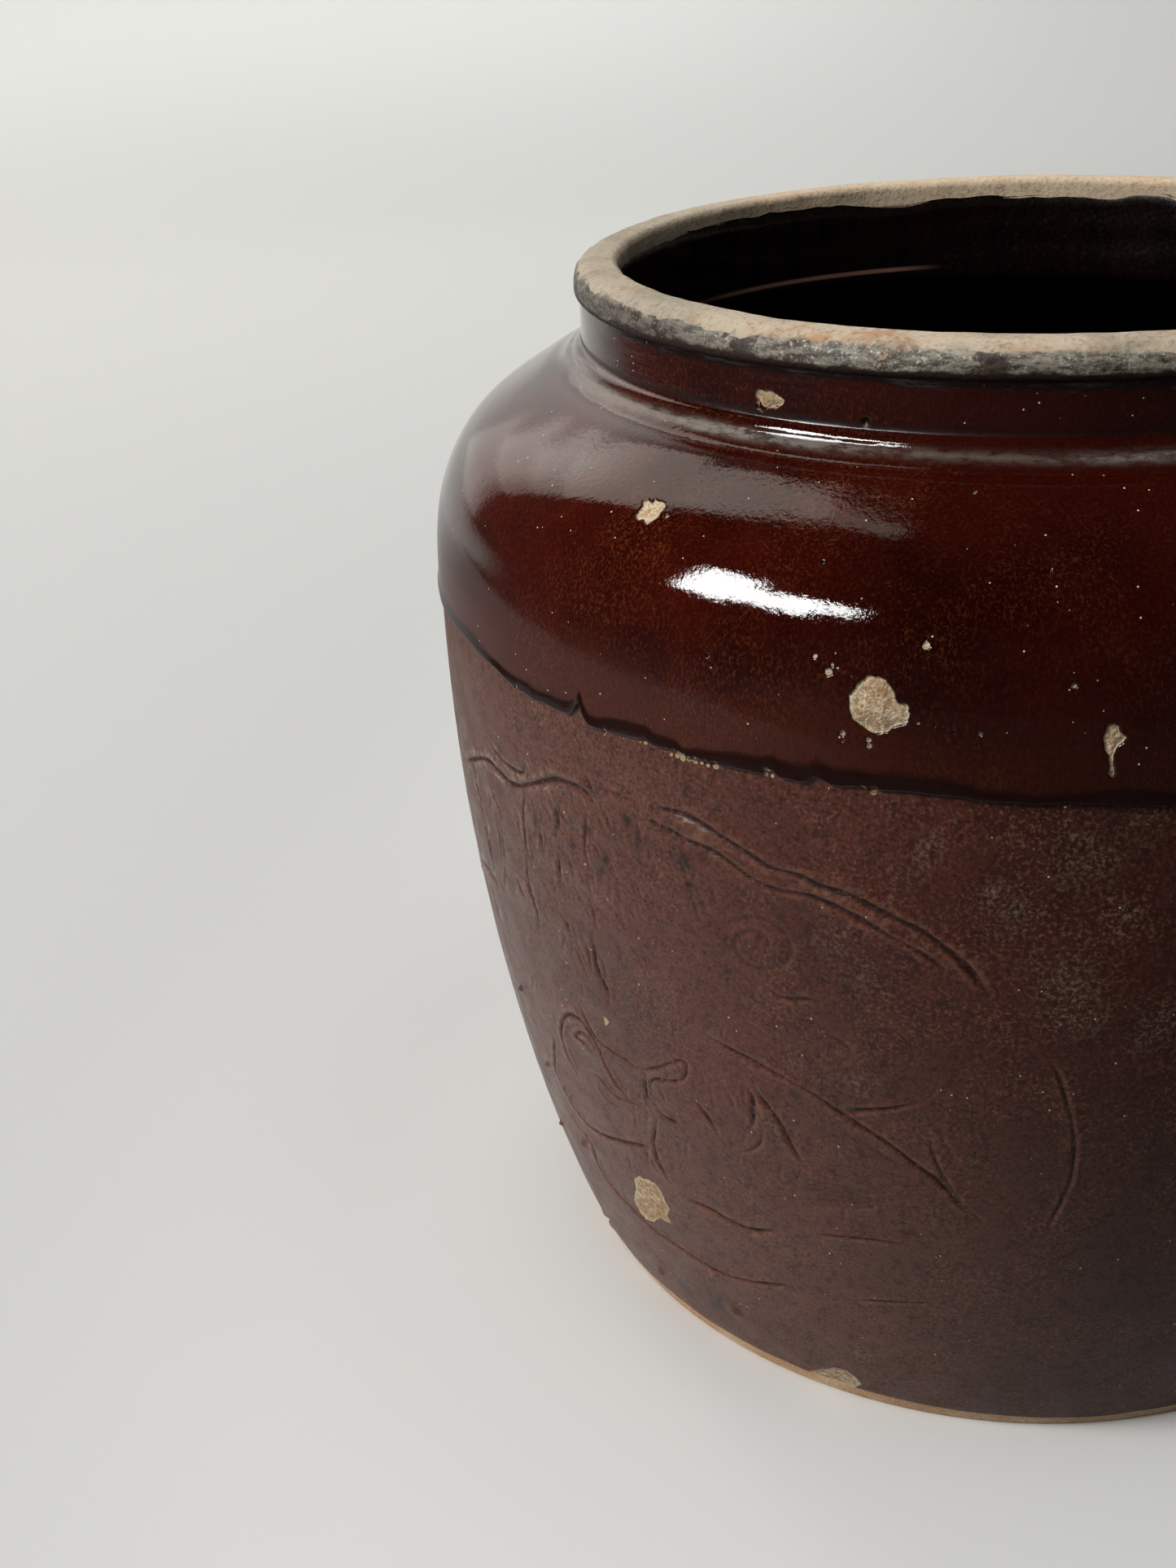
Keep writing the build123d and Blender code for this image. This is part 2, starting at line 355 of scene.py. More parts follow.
@dataclass(frozen=True)
class PhotoCamera:
    """Pinhole camera fitted to the photograph."""

    focal: float = 2236.98
    width: int = 1445
    height: int = 1927
    place: tuple[float, float, float] = (0.0, -0.5939, 0.4418)
    left_turn: float = 0.2472
    down_tilt: float = 0.4549
    roll: float = -0.0508
    film: float = 36.0
    search: tuple[float, float, int] = (0.25, 0.8, 1400)

    def axes(self) -> tuple[Array, Array, Array]:
        """Return the camera's right, up and forward directions."""
        level = np.array((-math.sin(self.left_turn), math.cos(self.left_turn), 0.0))
        side = np.array((math.cos(self.left_turn), math.sin(self.left_turn), 0.0))
        rise = np.array((0.0, 0.0, 1.0))
        forward = level * math.cos(self.down_tilt) - rise * math.sin(self.down_tilt)
        over = rise * math.cos(self.down_tilt) + level * math.sin(self.down_tilt)
        right = side * math.cos(self.roll) + over * math.sin(self.roll)
        upward = over * math.cos(self.roll) - side * math.sin(self.roll)
        return right, upward, forward

    def on_jar(self, pixels: Sequence[tuple[float, float]], line: Profile) -> Array:
        """Return where pixels of the photograph fall on a turned surface.

        Args:
            pixels: Places in the photograph, right and down from its corner.
            line: The surface's line, which only rises.

        Returns:
            Turn from the front and height, one row per pixel.
        """
        right, upward, forward = self.axes()
        spots = np.array(pixels, float)
        across = (spots[:, 0] - self.width / 2) / self.focal
        over = (self.height / 2 - spots[:, 1]) / self.focal
        rays = forward + across[:, None] * right + over[:, None] * upward
        start = np.array(self.place)
        reach = np.linspace(*self.search)
        track = start + rays[:, None, :] * reach[None, :, None]
        radius = np.hypot(track[..., 0], track[..., 1])
        edge = np.interp(track[..., 2], line.points[:, 1], line.points[:, 0])
        gap = radius - edge
        hit = np.argmax(gap <= 0.0, axis=1)
        missed = hit == 0
        hit = np.where(missed, np.argmin(gap, axis=1), hit)
        rows = np.arange(len(spots))
        before, after = gap[rows, hit - 1], gap[rows, hit]
        share = np.where(missed, 0.0, before / (before - after + 1e-12))
        place = track[rows, hit - 1] * (1 - share[:, None]) + track[rows, hit] * share[:, None]
        return np.stack((np.arctan2(place[:, 0], -place[:, 1]), place[:, 2]), axis=1)

    def places_of(self, found: Marks, line: Profile) -> Array:
        """Return the places in space of round marks on a turned surface."""
        seen = self.on_jar([spot for spot, _ in found], line)
        return line.place(seen[:, 0], line.run_at_height(seen[:, 1]), 0.0)

    def build(self) -> Piece:
        """Create the camera and make it the scene's camera."""
        right, upward, forward = self.axes()
        data = bpy.data.cameras.new("photo_camera")
        data.sensor_width = self.film
        data.lens = self.focal * self.film / self.height
        camera = bpy.data.objects.new("photo_camera", data)
        matrix = Matrix.Identity(4)
        for column, axis in enumerate((right, upward, -forward)):
            for row in range(3):
                matrix[row][column] = axis[row]
        matrix.translation = Vector(self.place)
        camera.matrix_world = matrix
        bpy.context.scene.collection.objects.link(camera)
        bpy.context.scene.camera = camera
        return camera


# Incised decoration


class Tool(Enum):
    """Cutting tools, by half width and depth of the groove they leave, in metres."""

    GOUGE = (0.00125, 0.00070)
    BLUNT = (0.00100, 0.00056)
    POINT = (0.00075, 0.00040)
    FEATHER = (0.00095, 0.00024)


GOUGE, BLUNT, POINT, FEATHER = Tool


@dataclass(frozen=True)
class Stroke:
    """One line cut into the leather-hard clay, by its pixels in the photograph."""

    tool: Tool
    pixels: Pixels


def spots(*numbers: float) -> Pixels:
    """Return pixels of the photograph from numbers that run right, down, right, down."""
    return tuple(zip(numbers[::2], numbers[1::2]))


def cut(tool: Tool, *numbers: float) -> Stroke:
    """Return a tool's stroke through pixels given as for spots."""
    return Stroke(tool, spots(*numbers))


def marks(*numbers: float) -> Marks:
    """Return round marks from numbers that run right, down and radius in millimetres."""
    return tuple(zip(zip(numbers[::3], numbers[1::3]), numbers[2::3]))


CLOUD_LINES = (
    cut(
        GOUGE,
        572, 934, 584, 933, 599, 936, 610, 947, 625, 962, 634, 966, 651, 964, 666, 961, 684, 959,
        698, 964, 713, 971, 725, 983, 731, 993,
    ),
    cut(BLUNT, 599, 911, 609, 927, 618, 937, 631, 947, 641, 949, 644, 939),
    cut(BLUNT, 644, 939, 648, 952),
    cut(GOUGE, 716, 950, 723, 965, 729, 975),
    cut(BLUNT, 735, 968, 762, 980, 790, 988),
)
RAIN_DABS = (
    cut(BLUNT, 581, 940, 587, 974, 596, 1009, 599, 1035, 606, 1068),
    cut(BLUNT, 596, 950, 606, 980, 616, 1006),
    cut(POINT, 588, 989, 594, 1012, 602, 1044, 606, 1071),
    cut(POINT, 609, 1009, 613, 1035, 615, 1056),
    cut(GOUGE, 603, 1091, 609, 1112, 613, 1132),
    cut(POINT, 628, 968, 635, 989),
    cut(BLUNT, 644, 975, 641, 997, 643, 1021, 647, 1050, 656, 1071),
    cut(BLUNT, 646, 1053, 647, 1079, 653, 1103, 659, 1123, 663, 1148),
    cut(POINT, 631, 993, 637, 1021, 641, 1038),
    cut(POINT, 668, 977, 670, 991),
    cut(BLUNT, 668, 1033, 668, 1056),
    cut(POINT, 657, 1044, 658, 1062),
    cut(GOUGE, 685, 1041, 693, 1053),
    cut(BLUNT, 695, 1050, 701, 1065, 705, 1081),
    cut(POINT, 675, 1082, 679, 1094),
    cut(GOUGE, 687, 1123, 694, 1135, 704, 1162),
    cut(BLUNT, 719, 997, 717, 1021, 717, 1044, 720, 1059, 728, 1071),
    cut(POINT, 728, 1038, 737, 1056, 732, 1068),
    cut(BLUNT, 742, 1044, 750, 1065, 759, 1085),
    cut(POINT, 719, 1097, 728, 1121, 731, 1138, 739, 1156),
    cut(POINT, 742, 1103, 751, 1123),
    cut(BLUNT, 716, 1153, 723, 1179, 726, 1194),
    cut(GOUGE, 728, 1150, 729, 1176, 735, 1197, 744, 1217, 747, 1236),
    cut(POINT, 698, 1147, 713, 1182, 725, 1209),
    cut(BLUNT, 770, 1003, 771, 1018),
    cut(POINT, 787, 1035, 789, 1056),
    cut(POINT, 716, 994, 728, 1012),
    cut(POINT, 686, 990, 690, 1004, 697, 1012),
    cut(POINT, 704, 1020, 702, 1038),
    cut(POINT, 737, 1009, 745, 1026),
    cut(POINT, 760, 1120, 768, 1144),
    cut(POINT, 785, 1180, 795, 1202),
)
SLOPING_LINES = (
    cut(
        GOUGE,
        800, 992, 842, 1004, 863, 1015, 886, 1030, 907, 1043, 927, 1056, 948, 1069, 968, 1074,
        986, 1080, 1006, 1090, 1034, 1099, 1065, 1113, 1102, 1131, 1136, 1148, 1158, 1164,
        1177, 1179, 1195, 1198, 1214, 1224,
    ),
    cut(
        BLUNT,
        780, 1003, 816, 1018, 851, 1038, 874, 1047, 889, 1056, 910, 1071, 930, 1085, 945, 1091,
        965, 1096, 991, 1101, 1022, 1113, 1065, 1136, 1105, 1158, 1133, 1173, 1164, 1195,
    ),
)
CURLS = (
    cut(
        FEATHER,
        889, 1135, 910, 1129, 933, 1128, 951, 1135, 965, 1150, 971, 1170, 962, 1185, 942, 1191,
        921, 1187, 907, 1173, 902, 1159, 913, 1147, 930, 1145, 942, 1156, 939, 1167, 927, 1169,
    ),
    cut(BLUNT, 933, 1206, 948, 1220, 959, 1226, 977, 1229, 998, 1229, 1010, 1231),
    cut(
        FEATHER,
        997, 1284, 1013, 1275, 1031, 1278, 1044, 1294, 1034, 1306, 1016, 1306, 1006, 1297,
        1013, 1287, 1025, 1287,
    ),
    cut(FEATHER, 960, 1257, 972, 1269, 979, 1281),
    cut(FEATHER, 900, 1240, 925, 1262, 948, 1276),
)
STEM_LINES = (
    cut(
        BLUNT,
        868, 1273, 904, 1294, 936, 1311, 974, 1332, 1000, 1346, 1028, 1366, 1062, 1388, 1093, 1408,
        1124, 1432, 1151, 1452, 1175, 1478, 1198, 1502,
    ),
    cut(BLUNT, 1034, 1366, 1068, 1365, 1093, 1363, 1115, 1359, 1136, 1354),
    cut(POINT, 1136, 1354, 1148, 1343, 1153, 1330),
    cut(
        POINT,
        1285, 1297, 1297, 1315, 1305, 1334, 1311, 1355, 1316, 1374, 1320, 1399, 1320, 1420,
        1316, 1448, 1303, 1479, 1288, 1510,
    ),
    cut(POINT, 1155, 1383, 1160, 1405, 1167, 1420),
    cut(POINT, 1142, 1390, 1146, 1417, 1158, 1445, 1177, 1473, 1201, 1498, 1223, 1516),
)
LEAF_LINES = (
    cut(POINT, 886, 1333, 899, 1356, 904, 1369),
    cut(BLUNT, 914, 1333, 922, 1346, 925, 1366, 922, 1386, 915, 1393),
    cut(BLUNT, 926, 1336, 932, 1346, 949, 1369, 962, 1389, 972, 1409, 987, 1432, 992, 1439),
    cut(BLUNT, 984, 1436, 978, 1449, 965, 1455),
    cut(POINT, 937, 1384, 933, 1406, 915, 1416, 892, 1416),
    cut(BLUNT, 849, 1349, 872, 1379, 886, 1404),
)
BUD_LINES = (
    cut(
        BLUNT,
        711, 1324, 697, 1298, 689, 1272, 690, 1255, 700, 1248, 715, 1258, 726, 1275, 735, 1291,
        746, 1316, 766, 1346, 776, 1356,
    ),
    cut(
        POINT,
        731, 1303, 723, 1290, 713, 1280, 706, 1275, 710, 1270, 720, 1275, 731, 1291, 738, 1301,
    ),
    cut(
        BLUNT,
        681, 1276, 680, 1298, 685, 1323, 696, 1346, 713, 1373, 733, 1392, 756, 1402, 783, 1409,
        803, 1412,
    ),
    cut(BLUNT, 710, 1235, 720, 1256, 731, 1276, 746, 1290, 766, 1303, 784, 1316),
    cut(POINT, 721, 1320, 736, 1326, 753, 1346, 769, 1354, 793, 1363),
    cut(POINT, 735, 1329, 740, 1346, 753, 1358, 766, 1361),
    cut(
        BLUNT,
        784, 1316, 793, 1315, 816, 1310, 841, 1308, 842, 1320, 836, 1328, 819, 1329, 806, 1328,
        798, 1334, 801, 1341,
    ),
    cut(BLUNT, 793, 1322, 792, 1338, 796, 1352, 808, 1360),
    cut(GOUGE, 806, 1363, 816, 1374, 832, 1383, 841, 1392),
    cut(BLUNT, 807, 1376, 803, 1396, 803, 1412, 808, 1429, 818, 1446, 826, 1457),
    cut(BLUNT, 836, 1467, 850, 1477, 866, 1485, 892, 1499, 912, 1509, 935, 1514, 958, 1514),
    cut(POINT, 992, 1515, 1025, 1520, 1075, 1525, 1124, 1532),
)
FOOT_LINES = (
    cut(
        BLUNT,
        710, 1386, 726, 1406, 731, 1422, 740, 1442, 760, 1469, 783, 1492, 803, 1512, 826, 1528,
        846, 1542, 872, 1558, 892, 1568, 912, 1574, 935, 1578, 975, 1582,
    ),
    cut(BLUNT, 803, 1552, 810, 1560, 816, 1569),
    cut(BLUNT, 693, 1359, 703, 1374, 713, 1388),
    cut(POINT, 1045, 1598, 1091, 1601, 1158, 1602),
    cut(GOUGE, 733, 1480, 741, 1491, 750, 1500),
)
SCATTER_AREAS = (
    ((575, 970), (690, 1090), 24, 44, GOUGE),
    ((660, 975), (840, 1130), 70, 22, BLUNT),
    ((650, 1110), (780, 1225), 26, 30, BLUNT),
    ((830, 1040), (880, 1120), 10, 22, BLUNT),
    ((940, 1290), (1260, 1480), 26, 22, POINT),
    ((760, 1330), (930, 1440), 22, 24, BLUNT),
)
SMUDGES = marks(
    770, 1008, 3.2, 783, 1036, 3, 737, 1071, 3.2, 742, 1058, 2.2, 839, 1062, 3.8, 845, 1088, 3,
    852, 1108, 2.6, 832, 1048, 2.6, 704, 1041, 2.4, 684, 1000, 2.4, 659, 1006, 2.4, 720, 1020, 2,
    717, 964, 2, 893, 1158, 2.4, 955, 1180, 2.4, 848, 975, 2.2, 745, 1488, 4.5, 880, 1600, 7,
    845, 1585, 5, 700, 1440, 4,
)
KNOBS = marks(
    737, 1484, 2, 690, 1380, 1.4, 672, 1308, 1.2, 716, 1405, 1.4, 640, 1215, 1.2, 878, 1566, 1.8,
    812, 1562, 1.8, 902, 1610, 3,
)
BLOOMS = marks(
    1328, 1041, 6, 1352, 1058, 6, 1140, 1050, 5, 1225, 1100, 5.5, 1245, 1126, 6, 1380, 1132, 5,
    1310, 1205, 9, 1316, 1250, 8, 1421, 1263, 7, 1023, 1158, 6, 1058, 1199, 5, 1056, 1334, 4.5,
    1410, 1012, 5,
)
LEAF_EDGES = (
    spots(1044, 1379, 1064, 1394, 1085, 1409, 1105, 1422, 1124, 1434, 1151, 1448),
    spots(930, 1468, 965, 1478, 1010, 1484, 1060, 1486, 1105, 1478, 1150, 1462),
)


@dataclass(frozen=True)
class Cuts:
    """Closely spaced samples of all the grooves, with their widths and depths."""

    places: Array
    half_width: Array
    depth: Array
    tree: KDTree

    def nearest(self, places: Array) -> tuple[Array, Array]:
        """Return the index of the nearest sample to each place, and its distance."""
        found = [self.tree.find(place) for place in places]
        return np.array([hit[1] for hit in found]), np.array([hit[2] for hit in found])


@dataclass(frozen=True)
class IncisedDecor:
    """Flowers, leaves and cloud lines cut freehand round the belly, panel by panel."""

    camera: PhotoCamera
    line: Profile
    spacing: float = 0.00028
    taper: float = 0.008
    mark_spread: float = 0.8
    panel_turns: tuple[float, ...] = (0.0, 2.03, -2.16)
    panel_lift: tuple[float, ...] = (0.0, 0.004, -0.003)
    panel_stretch: float = 1.06
    left_out: float = 0.16
    turn_scale: float = 0.18
    veins: int = 18
    vein_seed: int = 31
    panel_seed: int = 70
    wander_seeds: tuple[int, int] = (90, 93)

    def strokes(self) -> list[tuple[Tool, Array]]:
        """Return each stroke's tool and its control points as turn and run."""
        families = (CLOUD_LINES, RAIN_DABS, SLOPING_LINES, CURLS, STEM_LINES, LEAF_LINES)
        found = []
        for stroke in (s for family in families + (BUD_LINES, FOOT_LINES) for s in family):
            found.append((stroke.tool, self.control(stroke.pixels)))
        return found + self.leaf_veins() + self.scattered_dabs()

    def control(self, pixels: Pixels) -> Array:
        """Return pixels of the photograph as turn and run on the jar."""
        spots = self.camera.on_jar(pixels, self.line)
        return np.stack((spots[:, 0], self.line.run_at_height(spots[:, 1])), axis=1)

    def leaf_veins(self) -> list[tuple[Tool, Array]]:
        """Return the fine hatch that fills the large leaf, between its two edges."""
        upper, lower = (self.control(edge) for edge in LEAF_EDGES)
        draw = np.random.default_rng(self.vein_seed)
        veins = []
        for step in range(self.veins):
            share = (step + 0.5 + draw.uniform(-0.3, 0.3)) / self.veins
            line = upper * (1 - share) + lower * share
            dense = smooth_curve(line, 40)
            start = int(draw.integers(0, 14))
            end = int(draw.integers(24, 40))
            veins.append((FEATHER, dense[start:end:4]))
        return veins

    def scattered_dabs(self) -> list[tuple[Tool, Array]]:
        """Return the short dabs that fill the ground between the larger lines."""
        draw = np.random.default_rng(self.vein_seed + 1)
        dabs = []
        for low, high, count, longest, wide in SCATTER_AREAS:
            for _ in range(count):
                start = draw.uniform(low, high)
                fall = draw.uniform(8, longest)
                lean = draw.normal(0.22, 0.18)
                middle = start + (fall * (lean * 0.5 + draw.normal(0, 0.06)), fall * 0.5)
                pixels = (tuple(start), tuple(middle), tuple(start + (fall * lean, fall)))
                tool = wide if draw.random() < 0.6 else POINT
                dabs.append((tool, self.control(pixels)))
        return dabs

    def patches(self, marks: Marks, places: Array) -> Array:
        """Return how strongly soft round marks, repeated on every panel, cover each place."""
        cover = np.zeros(len(places))
        sizes = [size for _, size in marks] * len(self.panel_turns)
        for middle, size in zip(self.middles(marks), sizes):
            far = np.linalg.norm(places - middle, axis=1) / (size * MM)
            cover = np.maximum(cover, hump(far / self.mark_spread))
        return cover

    def middles(self, marks: Marks) -> Array:
        """Return the places of the marks on every panel."""
        spots = self.control(tuple(spot for spot, _ in marks))
        turns = self.panel_turns
        rings = [self.line.place(spots[:, 0] + turn, spots[:, 1], 0.0) for turn in turns]
        return np.concatenate(rings)

    def cuts(self) -> Cuts:
        """Return samples of every groove on every panel."""
        places, widths, depths = [], [], []
        wide_seed, fine_seed = self.wander_seeds
        for number, (turn, lift) in enumerate(zip(self.panel_turns, self.panel_lift)):
            draw = np.random.default_rng(self.panel_seed + number)
            for tool, control in self.strokes():
                if number and draw.random() < self.left_out:
                    continue
                moved = control.copy()
                if number:
                    moved[:, 0] = moved[:, 0] * self.panel_stretch + draw.normal(0.0, 0.006)
                    moved[:, 1] += lift + draw.normal(0.0, 0.0012)
                moved[:, 0] += turn
                sampled = self.sampled(moved)
                half, depth = tool.value
                span = np.linspace(0.0, line_length(sampled), len(sampled))
                ends = np.minimum(span, span[-1] - span) / self.taper
                strength = 0.25 + 0.75 * ease(ends)
                wander = 1 + 0.3 * Drift(wide_seed + number, 0.011).at(sampled)
                wander += 0.18 * Drift(fine_seed + number, 0.0028).at(sampled)
                places.append(sampled)
                widths.append(half * (0.75 + 0.25 * strength) * wander)
                depths.append(depth * strength * wander)
        merged = np.concatenate(places)
        return Cuts(merged, np.concatenate(widths), np.concatenate(depths), search_tree(merged))

    def sampled(self, control: Array) -> Array:
        """Return a stroke's smooth line as closely spaced places on the jar."""
        flat = control * np.array((self.turn_scale, 1.0))
        count = max(6, int(line_length(flat) / self.spacing))
        curve = smooth_curve(flat, count) if len(flat) > 2 else np.linspace(flat[0], flat[1], count)
        return self.line.place(curve[:, 0] / self.turn_scale, curve[:, 1], 0.0)


# Chips and bare spots


SHOULDER_CHIPS = (
    spots(
        788, 615, 797, 611, 800, 616, 804, 611, 810, 614, 816, 617, 815, 623, 811, 628, 808, 634,
        801, 638, 794, 642, 790, 638, 782, 635, 781, 630, 786, 624, 788, 620,
    ),
    spots(
        1041, 855, 1054, 841, 1065, 832, 1078, 832, 1087, 834, 1094, 844, 1099, 854, 1104, 864,
        1114, 868, 1117, 878, 1114, 889, 1102, 894, 1094, 898, 1087, 903, 1075, 902, 1067, 901,
        1057, 894, 1045, 884, 1042, 871,
    ),
    spots(
        1360, 892, 1369, 889, 1377, 892, 1379, 902, 1383, 908, 1379, 913, 1373, 919, 1370, 930,
        1369, 942, 1371, 953, 1368, 957, 1363, 953, 1364, 942, 1362, 930, 1358, 919, 1357, 905,
    ),
    spots(
        926, 481, 932, 477, 941, 480, 949, 483, 957, 488, 964, 492, 960, 498, 953, 504, 944, 501,
        936, 505, 930, 502, 928, 493,
    ),
)
FLANK_CHIPS = (
    spots(
        778, 1449, 783, 1446, 793, 1451, 803, 1454, 811, 1465, 819, 1482, 821, 1489, 819, 1495,
        824, 1505, 816, 1502, 811, 1499, 803, 1504, 794, 1500, 786, 1492, 779, 1479, 778, 1469,
        780, 1462,
    ),
    spots(
        985, 1688, 1003, 1683, 1026, 1681, 1040, 1685, 1053, 1695, 1059, 1703, 1046, 1707,
        1026, 1703, 1004, 1697,
    ),
    spots(740, 1250, 745, 1252, 748, 1258, 745, 1263, 741, 1260),
)
SHOULDER_SPECKS = marks(
    1138, 794, 0.7, 1001, 807, 0.6, 1017, 826, 0.7, 1035, 903, 0.6, 1035, 911, 0.5, 1067, 911, 0.5,
    1068, 919, 0.6, 1321, 844, 0.6, 1197, 605, 0.6, 818, 633, 0.5, 633, 845, 0.3, 818, 921, 0.35,
    823, 924, 0.4, 828, 924, 0.5, 833, 927, 0.4, 838, 931, 0.6, 845, 932, 0.5, 852, 932, 0.55,
    858, 934, 0.45, 864, 937, 0.6, 871, 940, 0.4, 878, 940, 0.8, 941, 948, 0.7, 947, 950, 0.6,
    1024, 966, 0.6, 1060, 969, 0.5, 1072, 970, 1, 1022, 818, 0.25, 1029, 822, 0.3, 1037, 827, 0.3,
    1045, 832, 0.25, 1128, 891, 0.3, 1150, 895, 0.25, 1172, 899, 0.3, 1204, 903, 0.25,
    742, 898, 0.4, 763, 905, 0.5, 791, 909, 0.6,
)
EDGE_CRUMBS = marks(
    744, 901, 0.35, 765, 908, 0.45, 785, 913, 0.4, 792, 914, 0.6, 816, 924, 0.4, 824, 928, 0.55,
    831, 930, 0.6, 838, 933, 0.8, 846, 935, 0.7, 853, 937, 0.75, 861, 939, 0.6, 869, 942, 0.5,
    879, 944, 0.85, 941, 953, 0.9, 948, 955, 0.6, 1018, 969, 0.5, 1073, 975, 0.9,
)
SHOULDER_PITS = marks(1063, 519, 0.9, 1290, 700, 0.5, 868, 806, 0.5, 1010, 690, 0.4)
HIDDEN_SHOULDER_CHIPS = (
    (1.25, 0.272, 0.0045, 0.0038),
    (2.35, 0.290, 0.0030, 0.0040),
    (-2.40, 0.258, 0.0060, 0.0052),
    (-1.75, 0.300, 0.0024, 0.0020),
    (2.95, 0.262, 0.0022, 0.0050),
)
HIDDEN_FLANK_CHIPS = (
    (1.60, 0.078, 0.0058, 0.0072),
    (-2.05, 0.012, 0.0085, 0.0045),
    (2.60, 0.150, 0.0024, 0.0030),
    (0.95, 0.006, 0.0060, 0.0034),
    (-1.45, 0.190, 0.0018, 0.0026),
)


@dataclass(frozen=True)
class Flake:
    """One place where the glaze has flaked off, as a closed outline on the jar."""

    turn: float
    run: float
    radius: float
    corners: Array

    @staticmethod
    def from_pixels(pixels: Pixels, camera: PhotoCamera, line: Profile) -> "Flake":
        """Return the flake that shows at those pixels of the photograph."""
        spots = camera.on_jar(pixels, line)
        run = line.run_at_height(spots[:, 1])
        turn, middle = float(spots[:, 0].mean()), float(run.mean())
        radius = float(line.at(np.array([middle]), 0.0)[0][0])
        corners = np.stack(((spots[:, 0] - turn) * radius, run - middle), axis=1)
        return Flake(turn, middle, radius, corners)

    @staticmethod
    def from_size(turn: float, height: float, wide: float, high: float, line: Profile) -> "Flake":
        """Return a rough oval flake of that half width and half height."""
        run = float(line.run_at_height(height))
        radius = float(line.at(np.array([run]), 0.0)[0][0])
        draw = np.random.default_rng(int(abs(turn) * 1000))
        around = np.linspace(0.0, FULL_TURN, FLAKE_CORNERS, endpoint=False)
        reach = draw.uniform(0.75, 1.12, FLAKE_CORNERS)
        corners = np.stack((np.cos(around) * wide * reach, np.sin(around) * high * reach), axis=1)
        return Flake(turn, run, radius, corners)

    def local(self, turn: Array, run: Array) -> Array:
        """Return places as distances to the right of and above the flake's middle."""
        offset = (turn - self.turn + math.pi) % FULL_TURN - math.pi
        return np.stack((offset * self.radius, run - self.run), axis=1)

    def distance(self, turn: Array, run: Array) -> Array:
        """Return the distance to the flake's edge, negative inside it."""
        spots = self.local(turn, run)
        away = np.full(len(spots), 1.0)
        inside = np.zeros(len(spots), bool)
        ends = np.roll(self.corners, -1, axis=0)
        for start, end in zip(self.corners, ends):
            side = end - start
            share = np.clip(((spots - start) @ side) / (side @ side), 0.0, 1.0)
            nearest = start + share[:, None] * side
            away = np.minimum(away, np.linalg.norm(spots - nearest, axis=1))
            crosses = (start[1] > spots[:, 1]) != (end[1] > spots[:, 1])
            rise = side[1] if abs(side[1]) > 1e-12 else 1e-12
            reach = start[0] + (spots[:, 1] - start[1]) / rise * side[0]
            inside ^= crosses & (spots[:, 0] < reach)
        return np.where(inside, -away, away)


@dataclass(frozen=True)
class BareClay:
    """All the flakes and specks of one coat."""

    flakes: tuple[Flake, ...]
    specks: Array
    speck_sizes: Array
    line: Profile
    limit: float = 0.005
    flake_reach: float = 0.03

    @staticmethod
    def of_coat(
        camera: PhotoCamera,
        line: Profile,
        chips: Sequence[Pixels],
        hidden: Sequence[tuple[float, float, float, float]],
        specks: Marks,
    ) -> "BareClay":
        """Return a coat's bare clay.

        Args:
            camera: The photograph's camera.
            line: The coat's line.
            chips: Outlines of the flakes that show in the photograph.
            hidden: Turn, height, half width and half height of the flakes that don't.
            specks: Small bare specks.

        Returns:
            All of them, as one set.
        """
        flakes = [Flake.from_pixels(pixels, camera, line) for pixels in chips]
        flakes += [Flake.from_size(*chip, line) for chip in hidden]
        sizes = np.array([size for _, size in specks]) * MM
        return BareClay(tuple(flakes), camera.places_of(specks, line), sizes, line)

    def distance(self, turn: Array, run: Array, places: Array) -> Array:
        """Return the ragged distance to the nearest bare clay, negative on it."""
        away = np.full(len(turn), self.limit)
        for flake in self.flakes:
            near = np.linalg.norm(flake.local(turn, run), axis=1) < self.flake_reach
            if near.any():
                measured = flake.distance(turn[near], run[near])
                away[near] = np.minimum(away[near], measured)
        for speck, size in zip(self.specks, self.speck_sizes):
            gap = np.linalg.norm(places - speck, axis=1) - size
            away = np.minimum(away, gap)
        ragged = 0.00042 * Drift(5, 0.0023).at(places) + 0.00024 * Drift(6, 0.0009).at(places)
        return np.where(away < self.limit, away + ragged, away)

    def detail(self) -> Array:
        """Return places on the flakes' edges and specks, where the mesh is made fine."""
        places = [self.specks]
        for flake in self.flakes:
            ring = np.concatenate((flake.corners, flake.corners[:1]))
            sides = zip(ring[:-1], ring[1:])
            dense = np.concatenate([np.linspace(a, b, 8, endpoint=False) for a, b in sides])
            turn = flake.turn + dense[:, 0] / flake.radius
            places.append(self.line.place(turn, flake.run + dense[:, 1], 0.0))
        return np.concatenate(places)


# Sheets of glaze


@dataclass(frozen=True)
class Focus:
    """Places near which a sheet's mesh is made finer, step by step."""

    places: Array
    reaches: tuple[float, ...]


